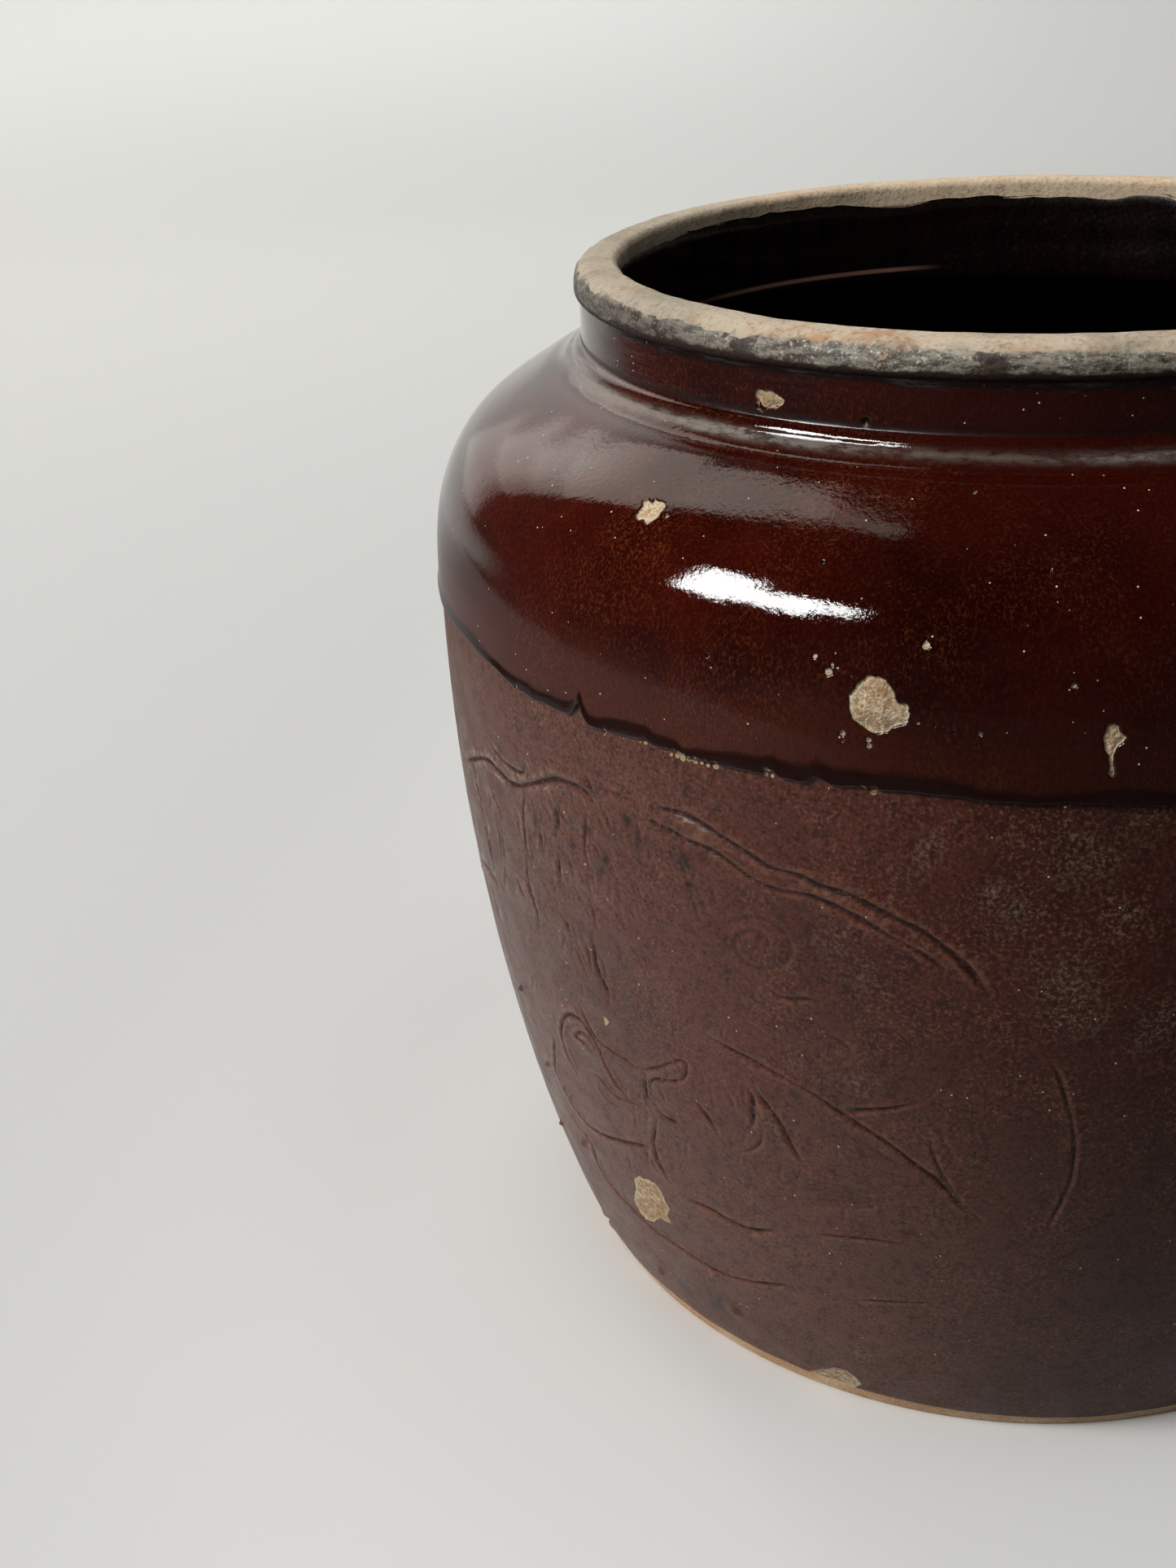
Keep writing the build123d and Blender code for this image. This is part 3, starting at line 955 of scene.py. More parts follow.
@dataclass
class GlazeSheet:
    """A flat grid, made finer near its detail, wrapped round the jar and closed behind."""

    name: str
    line: Profile
    columns: int
    rows: Array
    low: Callable[[Array], Array]
    high: Callable[[Array], Array]
    depth: float
    focuses: tuple[Focus, ...] = ()
    back_rows: int = 14

    def run(self, turn: Array, share: Array) -> Array:
        """Return the distance along the line at a share of the sheet's height."""
        low = self.low(turn)
        return low + share * (self.high(turn) - low)

    def build(self, skin: Skin) -> Piece:
        """Make the sheet as a mesh object.

        Args:
            skin: Gives each place's distance outwards and its named values.

        Returns:
            The sheet's object.
        """
        bm = bmesh.new()
        last = len(self.rows) - 1
        bmesh.ops.create_grid(bm, x_segments=self.columns, y_segments=last, size=1.0)
        for vert in bm.verts:
            vert.co.x *= math.pi
            vert.co.y = self.rows[round((vert.co.y + 1) / 2 * last)]
        self.refine(bm)
        self.match_seam(bm)
        flat = np.array([vert.co[:2] for vert in bm.verts])
        turn, share = flat[:, 0], flat[:, 1]
        run = self.run(turn, share)
        out, values = skin(turn, run)
        places = self.line.place(turn, run, out)
        layers = {key: bm.verts.layers.float.new(key) for key in values}
        row = bm.verts.layers.float.new("row")
        for index, vert in enumerate(bm.verts):
            vert.co = places[index]
            vert[row] = share[index]
            for key, layer in layers.items():
                vert[layer] = values[key][index]
        seam = [v for v, angle in zip(bm.verts, turn) if abs(abs(angle) - math.pi) < TINY]
        bmesh.ops.remove_doubles(bm, verts=seam, dist=TINY)
        pole = [vert for vert in bm.verts if vert.co.x**2 + vert.co.y**2 < TINY**2]
        bmesh.ops.remove_doubles(bm, verts=pole, dist=TINY)
        self.close(bm, row)
        return finished_object(self.name, bm)

    def refine(self, bm: Mesh) -> None:
        """Divide the faces near each focus, one step at a time."""
        trees = [(search_tree(focus.places), focus.reaches) for focus in self.focuses]
        steps = max((len(reaches) for _, reaches in trees), default=0)
        for step in range(steps):
            centres = np.array([face.calc_center_median()[:2] for face in bm.faces])
            run = self.run(centres[:, 0], centres[:, 1])
            places = self.line.place(centres[:, 0], run, 0.0)
            edges = set()
            for face, place in zip(bm.faces, places):
                for tree, reaches in trees:
                    if step < len(reaches) and tree.find(place)[2] < reaches[step]:
                        edges.update(face.edges)
                        break
            bmesh.ops.subdivide_edges(
                bm,
                edges=list(edges),
                cuts=1,
                use_grid_fill=True,
                use_single_edge=True,
                quad_corner_type="INNER_VERT",
            )

    def match_seam(self, bm: Mesh) -> None:
        """Give the grid's left and right sides the same heights, so that they join."""
        sides = []
        for side in (-math.pi, math.pi):
            edges = [e for e in bm.edges if all(abs(v.co.x - side) < TINY for v in e.verts)]
            sides.append((edges, {round(vert.co.y, 6) for edge in edges for vert in edge.verts}))
        for (edges, own), (_, other) in (sides, sides[::-1]):
            for height in sorted(other - own):
                for edge in edges:
                    low, high = sorted(edge.verts, key=lambda vert: vert.co.y)
                    if low.co.y < height < high.co.y:
                        share = (height - low.co.y) / (high.co.y - low.co.y)
                        edges.append(bmesh.utils.edge_split(edge, low, share)[0])
                        break

    def close(self, bm: Mesh, row: bmesh.types.BMLayerItem) -> None:
        """Give the sheet its back, from its upper border round to its lower one."""
        border = [edge for edge in bm.edges if edge.is_boundary]
        upper = [edge for edge in border if edge.verts[0][row] > 0.5]
        lower = [edge for edge in border if edge.verts[0][row] <= 0.5]
        for edge in border:
            edge.smooth = False
        ring = upper
        stations = np.linspace(1.0, 0.0, self.back_rows)
        for share in stations:
            made = bmesh.ops.extrude_edge_only(bm, edges=ring)["geom"]
            ring = [item for item in made if isinstance(item, bmesh.types.BMEdge)]
            verts = [item for item in made if isinstance(item, bmesh.types.BMVert)]
            turn = np.array([math.atan2(vert.co.x, -vert.co.y) for vert in verts])
            back = self.line.place(turn, self.run(turn, np.full(len(turn), share)), -self.depth)
            for vert, place in zip(verts, back):
                vert.co = place
                vert[row] = share
        if lower:
            bmesh.ops.bridge_loops(bm, edges=ring + lower)
        else:
            bmesh.ops.remove_doubles(bm, verts=verts, dist=TINY)
        bmesh.ops.recalc_face_normals(bm, faces=bm.faces[:])


def finished_object(name: str, bm: Mesh) -> Piece:
    """Turn a bmesh into a smooth-shaded object in the scene.

    Args:
        name: Name of the object and its mesh.
        bm: The finished bmesh, which is freed.

    Returns:
        The new object.
    """
    for face in bm.faces:
        face.smooth = True
    mesh = bpy.data.meshes.new(name)
    bm.to_mesh(mesh)
    bm.free()
    piece = bpy.data.objects.new(name, mesh)
    bpy.context.scene.collection.objects.link(piece)
    return piece


def spun_section(section: Array, steps: int, closed: bool = True) -> Mesh:
    """Return a section turned round the axis.

    Args:
        section: Radius and height of the section's corners, in order.
        steps: Number of steps round the axis.
        closed: Whether the section's end joins its start.

    Returns:
        The turned shape, with its faces outwards.
    """
    bm = bmesh.new()
    verts = [bm.verts.new((radius, 0.0, height)) for radius, height in section]
    after = verts[1:] + verts[:1] if closed else verts[1:]
    edges = [bm.edges.new(pair) for pair in zip(verts, after)]
    bmesh.ops.spin(
        bm,
        geom=verts + edges,
        cent=(0.0, 0.0, 0.0),
        axis=(0.0, 0.0, 1.0),
        angle=FULL_TURN,
        steps=steps,
        use_merge=True,
    )
    bmesh.ops.remove_doubles(bm, verts=bm.verts[:], dist=1e-7)
    bmesh.ops.recalc_face_normals(bm, faces=bm.faces[:])
    return bm


def arc(centre: tuple[float, float], radius: float, start: float, end: float, steps: int) -> list:
    """Return points of an arc in a half section, with its angles in degrees."""
    angles = np.radians(np.linspace(start, end, steps + 1))
    return [(centre[0] + radius * math.cos(a), centre[1] + radius * math.sin(a)) for a in angles]


# Finishes


class Recipe:
    """Node tree of one finish, built up node by node."""

    def __init__(self, name: str) -> None:
        """Start a material with its shader and coordinates."""
        self.material = bpy.data.materials.new(name)
        self.material.use_nodes = True
        tree = self.material.node_tree
        self.nodes, self.links = tree.nodes, tree.links
        self.shader = self.nodes["Principled BSDF"]
        self.object_place = self.nodes.new("ShaderNodeTexCoord").outputs["Object"]

    def put(self, socket: Socket, value: object) -> None:
        """Link a socket to another, or set its value."""
        if isinstance(value, Socket):
            self.links.new(value, socket)
        else:
            socket.default_value = value

    def scaled(self, x: float, y: float, z: float) -> Socket:
        """Return the object's coordinates stretched along each axis."""
        node = self.nodes.new("ShaderNodeMapping")
        node.inputs["Scale"].default_value = (x, y, z)
        self.links.new(self.object_place, node.inputs["Vector"])
        return node.outputs["Vector"]

    def noise(
        self,
        scale: float,
        detail: float = 3.0,
        rough: float = 0.55,
        place: Optional[Socket] = None,
    ) -> Socket:
        """Return a noise pattern, as a value between 0 and 1."""
        node = self.nodes.new("ShaderNodeTexNoise")
        for key, number in (("Scale", scale), ("Detail", detail), ("Roughness", rough)):
            node.inputs[key].default_value = number
        self.links.new(place or self.object_place, node.inputs["Vector"])
        return node.outputs["Fac"]

    def cells(self, scale: float) -> Socket:
        """Return the distance to the nearest of scattered points."""
        node = self.nodes.new("ShaderNodeTexVoronoi")
        node.inputs["Scale"].default_value = scale
        self.links.new(self.object_place, node.inputs["Vector"])
        return node.outputs["Distance"]

    def value(self, name: str) -> Socket:
        """Return one of the mesh's own named values."""
        node = self.nodes.new("ShaderNodeAttribute")
        node.attribute_name = name
        return node.outputs["Fac"]

    def axis(self, name: str) -> Socket:
        """Return the object's coordinate along one axis."""
        node = self.nodes.new("ShaderNodeSeparateXYZ")
        self.links.new(self.object_place, node.inputs[0])
        return node.outputs[name]

    def height(self) -> Socket:
        """Return the height above the floor, in metres."""
        return self.axis("Z")

    def across(self) -> Socket:
        """Return the distance to the right of the axis, in metres."""
        return self.axis("X")

    def along(self) -> Socket:
        """Return the distance behind the axis, in metres."""
        return self.axis("Y")

    def step(
        self,
        value: Socket,
        low: float,
        high: float,
        start: float = 0.0,
        end: float = 1.0,
    ) -> Socket:
        """Return value carried from the range low to high onto start to end, and held there."""
        node = self.nodes.new("ShaderNodeMapRange")
        node.interpolation_type = "SMOOTHSTEP"
        keys = ("From Min", "From Max", "To Min", "To Max")
        for key, number in zip(keys, (low, high, start, end)):
            node.inputs[key].default_value = number
        self.links.new(value, node.inputs["Value"])
        return node.outputs["Result"]

    def sum(self, kind: str, first: object, second: object) -> Socket:
        """Return a sum of two values, with the kind of sum by its name."""
        node = self.nodes.new("ShaderNodeMath")
        node.operation = kind
        self.put(node.inputs[0], first)
        self.put(node.inputs[1], second)
        return node.outputs[0]

    def times(self, first: object, second: object) -> Socket:
        """Return the product of two values."""
        return self.sum("MULTIPLY", first, second)

    def plus(self, first: object, second: object) -> Socket:
        """Return two values added up."""
        return self.sum("ADD", first, second)

    def most(self, first: object, second: object) -> Socket:
        """Return the larger of two values."""
        return self.sum("MAXIMUM", first, second)

    def blend(self, share: object, first: object, second: object) -> Socket:
        """Return first carried over to second by share."""
        node = self.nodes.new("ShaderNodeMix")
        node.data_type = "RGBA"
        self.put(node.inputs["Factor"], share)
        self.put(node.inputs["A"], first)
        self.put(node.inputs["B"], second)
        return node.outputs["Result"]

    def dress(
        self,
        colour: Socket,
        rough: object,
        bumps: Sequence[tuple[Socket, float]] = (),
    ) -> bpy.types.Material:
        """Link colour, roughness and bumps to the shader.

        Args:
            colour: The colour's socket.
            rough: Roughness, as a number or a socket.
            bumps: Height patterns, each with how high it stands in metres.

        Returns:
            The finished material.
        """
        self.put(self.shader.inputs["Base Color"], colour)
        self.put(self.shader.inputs["Roughness"], rough)
        normal = None
        for pattern, height in bumps:
            node = self.nodes.new("ShaderNodeBump")
            node.inputs["Strength"].default_value = 1.0
            node.inputs["Distance"].default_value = height
            self.links.new(pattern, node.inputs["Height"])
            if normal:
                self.links.new(normal, node.inputs["Normal"])
            normal = node.outputs["Normal"]
        if normal:
            self.links.new(normal, self.shader.inputs["Normal"])
        return self.material


@dataclass(frozen=True)
class ClayFinish:
    """Buff stoneware with sandy grain, iron specks and handling stains."""

    pale: Colour = paint(246, 226, 192)
    warm: Colour = paint(226, 192, 150)
    stain: Colour = paint(120, 98, 78)
    sand: Colour = paint(172, 132, 94)
    grain: float = 1400.0

    def colours(self, recipe: Recipe) -> Socket:
        """Return the clay's colour pattern."""
        patch = recipe.step(recipe.noise(55.0, 4.0, 0.6), 0.35, 0.65)
        colour = recipe.blend(patch, self.pale, self.warm)
        sand = recipe.step(recipe.noise(self.grain, 3.0, 0.7), 0.42, 0.62)
        colour = recipe.blend(recipe.times(sand, 0.45), colour, self.stain)
        speck = recipe.step(recipe.cells(420.0), 0.16, 0.10)
        return recipe.blend(recipe.times(speck, 0.5), colour, self.stain)

    def chip_colours(self, recipe: Recipe) -> Socket:
        """Return the clay's colours in a chip, sandier towards its middle."""
        deep = recipe.step(recipe.value("bare"), -0.3, -2.0)
        grain = recipe.step(recipe.noise(520.0, 5.0, 0.75), 0.42, 0.56, 0.0, 1.0)
        deep = recipe.times(recipe.times(deep, grain), 0.8)
        return recipe.blend(deep, self.colours(recipe), self.sand)

    def material(self) -> bpy.types.Material:
        """Return the finish as a material."""
        recipe = Recipe("bare_stoneware")
        colour = self.colours(recipe)
        bump = recipe.noise(self.grain, 4.0, 0.7)
        return recipe.dress(colour, 0.88, ((bump, 0.25 * MM),))


@dataclass(frozen=True)
class LowerGlazeFinish:
    """Thin brown glaze over the cut decoration, half matte and lighter towards the bottom, with
    painted light on its left side and painted shade on its right.
    """

    deep: Colour = paint(76, 35, 27)
    brown: Colour = paint(97, 49, 38)
    rust: Colour = paint(130, 86, 66)
    lightening_tint: Colour = paint(126, 92, 80)
    painted_shade: Colour = paint(44, 19, 14)
    sheen: Colour = paint(166, 148, 136)
    soot: Colour = paint(34, 18, 15)
    dust: Colour = paint(138, 128, 112)
    clay: ClayFinish = ClayFinish()

    def material(self) -> bpy.types.Material:
        """Return the finish as a material."""
        recipe = Recipe("lower_brown_glaze")
        broad = recipe.step(recipe.noise(16.0, 5.0, 0.62), 0.3, 0.7)
        colour = recipe.blend(broad, self.deep, self.brown)
        # Lighter towards the bottom of the body.
        low_and_left_lightening = recipe.plus(recipe.height(), recipe.times(broad, 0.05))
        side = recipe.across()
        low_and_left_lightening = recipe.step(low_and_left_lightening, 0.235, 0.070, 0.0, 0.40)
        # Painted light: the left side is lightened as if the lamp on the left fell on it.
        low_and_left_lightening = recipe.most(low_and_left_lightening, recipe.step(side, 0.00, -0.15, 0.0, 0.30))
        colour = recipe.blend(low_and_left_lightening, colour, self.lightening_tint)
        # Painted shade: the right side is darkened as if turned away from the light.
        colour = recipe.blend(recipe.step(side, -0.055, 0.05, 0.0, 0.58), colour, self.painted_shade)
        mottle = recipe.noise(900.0, 4.0, 0.75)
        blotches = recipe.step(recipe.noise(240.0, 5.0, 0.75), 0.50, 0.36, 0.0, 0.5)
        drift = recipe.noise(150.0, 3.0, 0.6)
        colour = recipe.blend(recipe.step(mottle, 0.50, 0.34, 0.0, 0.75), colour, self.soot)
        colour = recipe.blend(blotches, colour, self.soot)
        flecks = recipe.step(mottle, 0.51, 0.64, 0.0, 0.8)
        patches = recipe.step(recipe.noise(44.0, 4.0, 0.6), 0.38, 0.62, 0.25, 1.0)
        colour = recipe.blend(recipe.times(flecks, patches), colour, self.rust)
        bloom = recipe.step(recipe.noise(26.0, 4.0, 0.55), 0.60, 0.72, 0.0, 0.6)
        bloom = recipe.most(bloom, recipe.value("bloom"))
        bloom = recipe.times(bloom, recipe.step(recipe.noise(900.0, 5.0, 0.8), 0.48, 0.60))
        colour = recipe.blend(recipe.times(bloom, 0.55), colour, self.dust)
        broken = recipe.step(recipe.noise(520.0, 4.0, 0.7), 0.40, 0.54, 0.1, 1.0)
        ridge = recipe.times(recipe.value("burr"), broken)
        # Painted sheen: burrs on the left are coloured as if catching light; elsewhere they are
        # rust.
        ridge_colour = recipe.blend(recipe.step(side, -0.10, -0.16), self.rust, self.sheen)
        colour = recipe.blend(recipe.times(ridge, 0.75), colour, ridge_colour)
        cut = recipe.step(recipe.value("cut"), 0.1, 0.7, 0.0, 0.9)
        colour = recipe.blend(recipe.times(cut, broken), colour, self.soot)
        smudge = recipe.step(recipe.noise(300.0, 4.0, 0.75), 0.40, 0.54)
        smudge = recipe.times(recipe.value("smudge"), smudge)
        colour = recipe.blend(recipe.times(smudge, 0.9), colour, self.soot)
        dots = recipe.step(recipe.cells(230.0), 0.085, 0.05)
        dots = recipe.times(dots, recipe.step(recipe.noise(95.0, 2.0), 0.52, 0.56))
        colour = recipe.blend(recipe.times(dots, 0.7), colour, self.clay.pale)
        bare = recipe.step(recipe.value("bare"), 0.12, -0.12)
        colour = recipe.blend(bare, colour, self.clay.chip_colours(recipe))
        rough = recipe.step(recipe.noise(90.0, 4.0, 0.6), 0.3, 0.7, 0.32, 0.46)
        for mask, least in ((bare, 0.9), (bloom, 0.75), (cut, 0.8)):
            rough = recipe.most(rough, recipe.times(mask, least))
        recipe.shader.inputs["Specular IOR Level"].default_value = 0.36
        grit = recipe.times(bare, recipe.noise(520.0, 5.0, 0.75))
        bumps = ((drift, 0.12 * MM), (mottle, 0.09 * MM), (grit, 1.5 * MM))
        return recipe.dress(colour, rough, bumps)


@dataclass(frozen=True)
class ShoulderGlazeFinish:
    """Thick glossy glaze, near black with rusty threads, on shoulder and neck."""

    black: Colour = paint(24, 2, 1)
    brown: Colour = paint(62, 13, 6)
    low_brown: Colour = paint(74, 27, 14)
    rust: Colour = paint(108, 52, 24)
    dust: Colour = paint(138, 132, 122)
    slate: Colour = paint(74, 74, 80)
    # Near black: dark mottling, the painted rim shadow, and the thick-glaze edge with its painted
    # shade.
    lip: Colour = paint(18, 6, 5)
    clay: ClayFinish = ClayFinish()

    def material(self) -> bpy.types.Material:
        """Return the finish as a material."""
        recipe = Recipe("shoulder_gloss_glaze")
        drawn = recipe.scaled(1.0, 1.0, 0.6)
        broad = recipe.step(recipe.noise(16.0, 3.0, 0.6), 0.3, 0.7)
        colour = recipe.blend(broad, self.brown, self.black)
        height = recipe.height()
        wander = recipe.times(recipe.noise(28.0, 4.0, 0.6), 0.03)
        low = recipe.step(recipe.plus(height, wander), 0.285, 0.262)
        colour = recipe.blend(recipe.times(low, 0.8), colour, self.low_brown)
        fine = recipe.noise(1250.0, 5.0, 0.8, drawn)
        threads = recipe.step(fine, 0.49, 0.64, 0.0, 0.8)
        zones = recipe.step(recipe.noise(30.0, 5.0, 0.7), 0.40, 0.66, 0.25, 0.9)
        colour = recipe.blend(recipe.times(threads, zones), colour, self.rust)
        colour = recipe.blend(recipe.step(fine, 0.46, 0.34, 0.0, 0.6), colour, self.lip)
        # Painted shade: the right side is darkened towards black as if turned away from the light.
        right = recipe.step(recipe.across(), -0.085, 0.03, 0.0, 0.60)
        colour = recipe.blend(right, colour, self.black)
        # Painted shadow: a dark band at the top of the neck where the rim shades it, with slate
        # streaks in it that are partly dust and partly painted reflection.
        streaks = recipe.noise(380.0, 5.0, 0.75, recipe.scaled(0.2, 0.2, 1.6))
        painted_rim_shadow = recipe.plus(height, recipe.times(streaks, 0.004))
        painted_rim_shadow = recipe.step(painted_rim_shadow, 0.3290, 0.3306, 0.0, 0.9)
        colour = recipe.blend(painted_rim_shadow, colour, self.lip)
        streaks = recipe.times(painted_rim_shadow, recipe.step(streaks, 0.50, 0.62, 0.0, 0.4))
        colour = recipe.blend(streaks, colour, self.slate)
        dots = recipe.step(recipe.cells(250.0), 0.075, 0.045)
        dots = recipe.times(dots, recipe.step(recipe.noise(80.0, 2.0), 0.50, 0.54))
        colour = recipe.blend(recipe.times(dots, 0.8), colour, self.clay.pale)
        # Dark where the glaze lies thick at the rolled edge, plus painted shade under the roll, in
        # the fillet above the bead and in the pits.
        colour = recipe.blend(recipe.times(recipe.value("lip"), 0.85), colour, self.lip)
        grain = recipe.noise(420.0, 5.0, 0.75, recipe.scaled(0.35, 0.35, 1.4))
        worn = recipe.times(recipe.value("worn"), recipe.step(grain, 0.38, 0.60, 0.25, 1.0))
        colour = recipe.blend(recipe.times(worn, 0.8), colour, self.dust)
        bare = recipe.step(recipe.value("bare"), 0.12, -0.12)
        colour = recipe.blend(bare, colour, self.clay.chip_colours(recipe))
        rough = recipe.step(recipe.noise(60.0, 4.0, 0.6), 0.3, 0.8, 0.025, 0.055)
        fillet = recipe.step(height, 0.3100, 0.3140, 0.0, 0.6)
        for mask, least in ((bare, 0.9), (worn, 0.6), (recipe.value("lip"), fillet)):
            rough = recipe.most(rough, recipe.times(mask, least))
        grit = recipe.times(bare, recipe.noise(360.0, 5.0, 0.72))
        pits = recipe.noise(560.0, 3.0, 0.6)
        drawn_lines = recipe.noise(620.0, 3.0, 0.6, recipe.scaled(0.06, 0.06, 1.0))
        drawn_lines = recipe.times(drawn_lines, recipe.step(height, 0.3160, 0.3180))
        bumps = ((drawn_lines, 0.07 * MM), (pits, 0.045 * MM), (grit, 2.2 * MM))
        return recipe.dress(colour, rough, bumps)


@dataclass(frozen=True)
class RimFinish:
    """Rim with a worn grey-green wash low on its face and bare clay on top."""

    beige: Colour = paint(194, 176, 152)
    orange: Colour = paint(180, 142, 108)
    cream: Colour = paint(224, 198, 164)
    grey: Colour = paint(146, 140, 124)
    brown: Colour = paint(44, 24, 18)
    green: Colour = paint(152, 145, 129)
    slate: Colour = paint(82, 76, 68)
    white: Colour = paint(214, 208, 194)

    def material(self, washed: bool) -> bpy.types.Material:
        """Return the finish as a material, for the wash or for the clay under it."""
        recipe = Recipe("rim_wash_glaze" if washed else "rim_clay")
        broad = recipe.noise(70.0, 4.0, 0.65)
        fine = recipe.noise(560.0, 5.0, 0.72)
        colour = recipe.blend(recipe.step(broad, 0.48, 0.70), self.beige, self.orange)
        stain = recipe.step(recipe.noise(36.0, 5.0, 0.7), 0.42, 0.64, 0.0, 0.7)
        colour = recipe.blend(stain, colour, self.grey)
        left = recipe.step(recipe.across(), -0.04, -0.13, 0.0, 0.45)
        colour = recipe.blend(left, colour, self.grey)
        far = recipe.step(recipe.along(), 0.02, 0.13, 0.0, 0.55)
        colour = recipe.blend(far, colour, self.cream)
        colour = recipe.blend(recipe.step(fine, 0.5, 0.68, 0.0, 0.5), colour, self.slate)
        height = recipe.height()
        if washed:
            streaks = recipe.noise(460.0, 5.0, 0.75, recipe.scaled(0.4, 0.4, 1.5))
            glaze = recipe.blend(recipe.step(streaks, 0.40, 0.60), self.slate, self.green)
            glints = recipe.step(recipe.noise(820.0, 4.0, 0.75), 0.55, 0.64, 0.0, 0.9)
            near = recipe.step(recipe.noise(60.0, 3.0, 0.6), 0.40, 0.60)
            glaze = recipe.blend(recipe.times(glints, near), glaze, self.white)
            pools = recipe.step(recipe.noise(75.0, 5.0, 0.7), 0.52, 0.58, 0.0, 0.85)
            glaze = recipe.blend(pools, glaze, self.brown)
            dark = recipe.step(recipe.across(), -0.05, -0.12, 0.0, 0.60)
            glaze = recipe.blend(dark, glaze, self.brown)
            shown = recipe.step(recipe.noise(150.0, 5.0, 0.75), 0.66, 0.60)
            patchy = recipe.noise(200.0, 5.0, 0.7)
            thin = recipe.plus(height, recipe.times(patchy, 0.006))
            shown = recipe.times(shown, recipe.step(thin, 0.3412, 0.3394, 0.25, 1.0))
            colour = recipe.blend(shown, colour, glaze)
            ragged = recipe.plus(height, recipe.times(broad, 0.005))
            colour = recipe.blend(recipe.step(ragged, 0.3352, 0.3342), colour, self.brown)
        rough = recipe.step(fine, 0.3, 0.7, 0.35, 0.7) if washed else 0.82
        return recipe.dress(colour, rough, ((fine, 0.35 * MM), (broad, 0.6 * MM)))


@dataclass(frozen=True)
class LiningFinish:
    """Dark red-brown glaze on the inside, satin, with thin runs and a painted highlight along the
    ledge.
    """

    ledge_height: float = 0.3085
    black: Colour = paint(6, 2, 2)
    brown: Colour = paint(17, 5, 4)
    rust: Colour = paint(62, 28, 18)
    painted_ledge_highlight: Colour = paint(170, 128, 110)

    def material(self) -> bpy.types.Material:
        """Return the finish as a material."""
        recipe = Recipe("inner_brown_glaze")
        runs = recipe.noise(120.0, 4.0, 0.6, recipe.scaled(1.0, 1.0, 0.15))
        colour = recipe.blend(recipe.step(runs, 0.35, 0.65), self.black, self.brown)
        fine = recipe.noise(800.0, 3.0, 0.6)
        colour = recipe.blend(recipe.step(fine, 0.6, 0.75, 0.0, 0.5), colour, self.rust)
        # Painted highlight: a thin pale line along the ledge inside the throat, on its left part.
        away = recipe.sum("SUBTRACT", recipe.height(), self.ledge_height)
        away = recipe.sum("ABSOLUTE", away, 0.0)
        across = recipe.across()
        worn = recipe.times(recipe.step(away, 0.0011, 0.0003), recipe.step(across, -0.030, -0.055))
        worn = recipe.times(worn, recipe.step(across, -0.135, -0.085))
        colour = recipe.blend(recipe.times(worn, 0.55), colour, self.painted_ledge_highlight)
        rough = recipe.step(fine, 0.3, 0.7, 0.22, 0.34)
        return recipe.dress(colour, rough, ((fine, 0.04 * MM),))


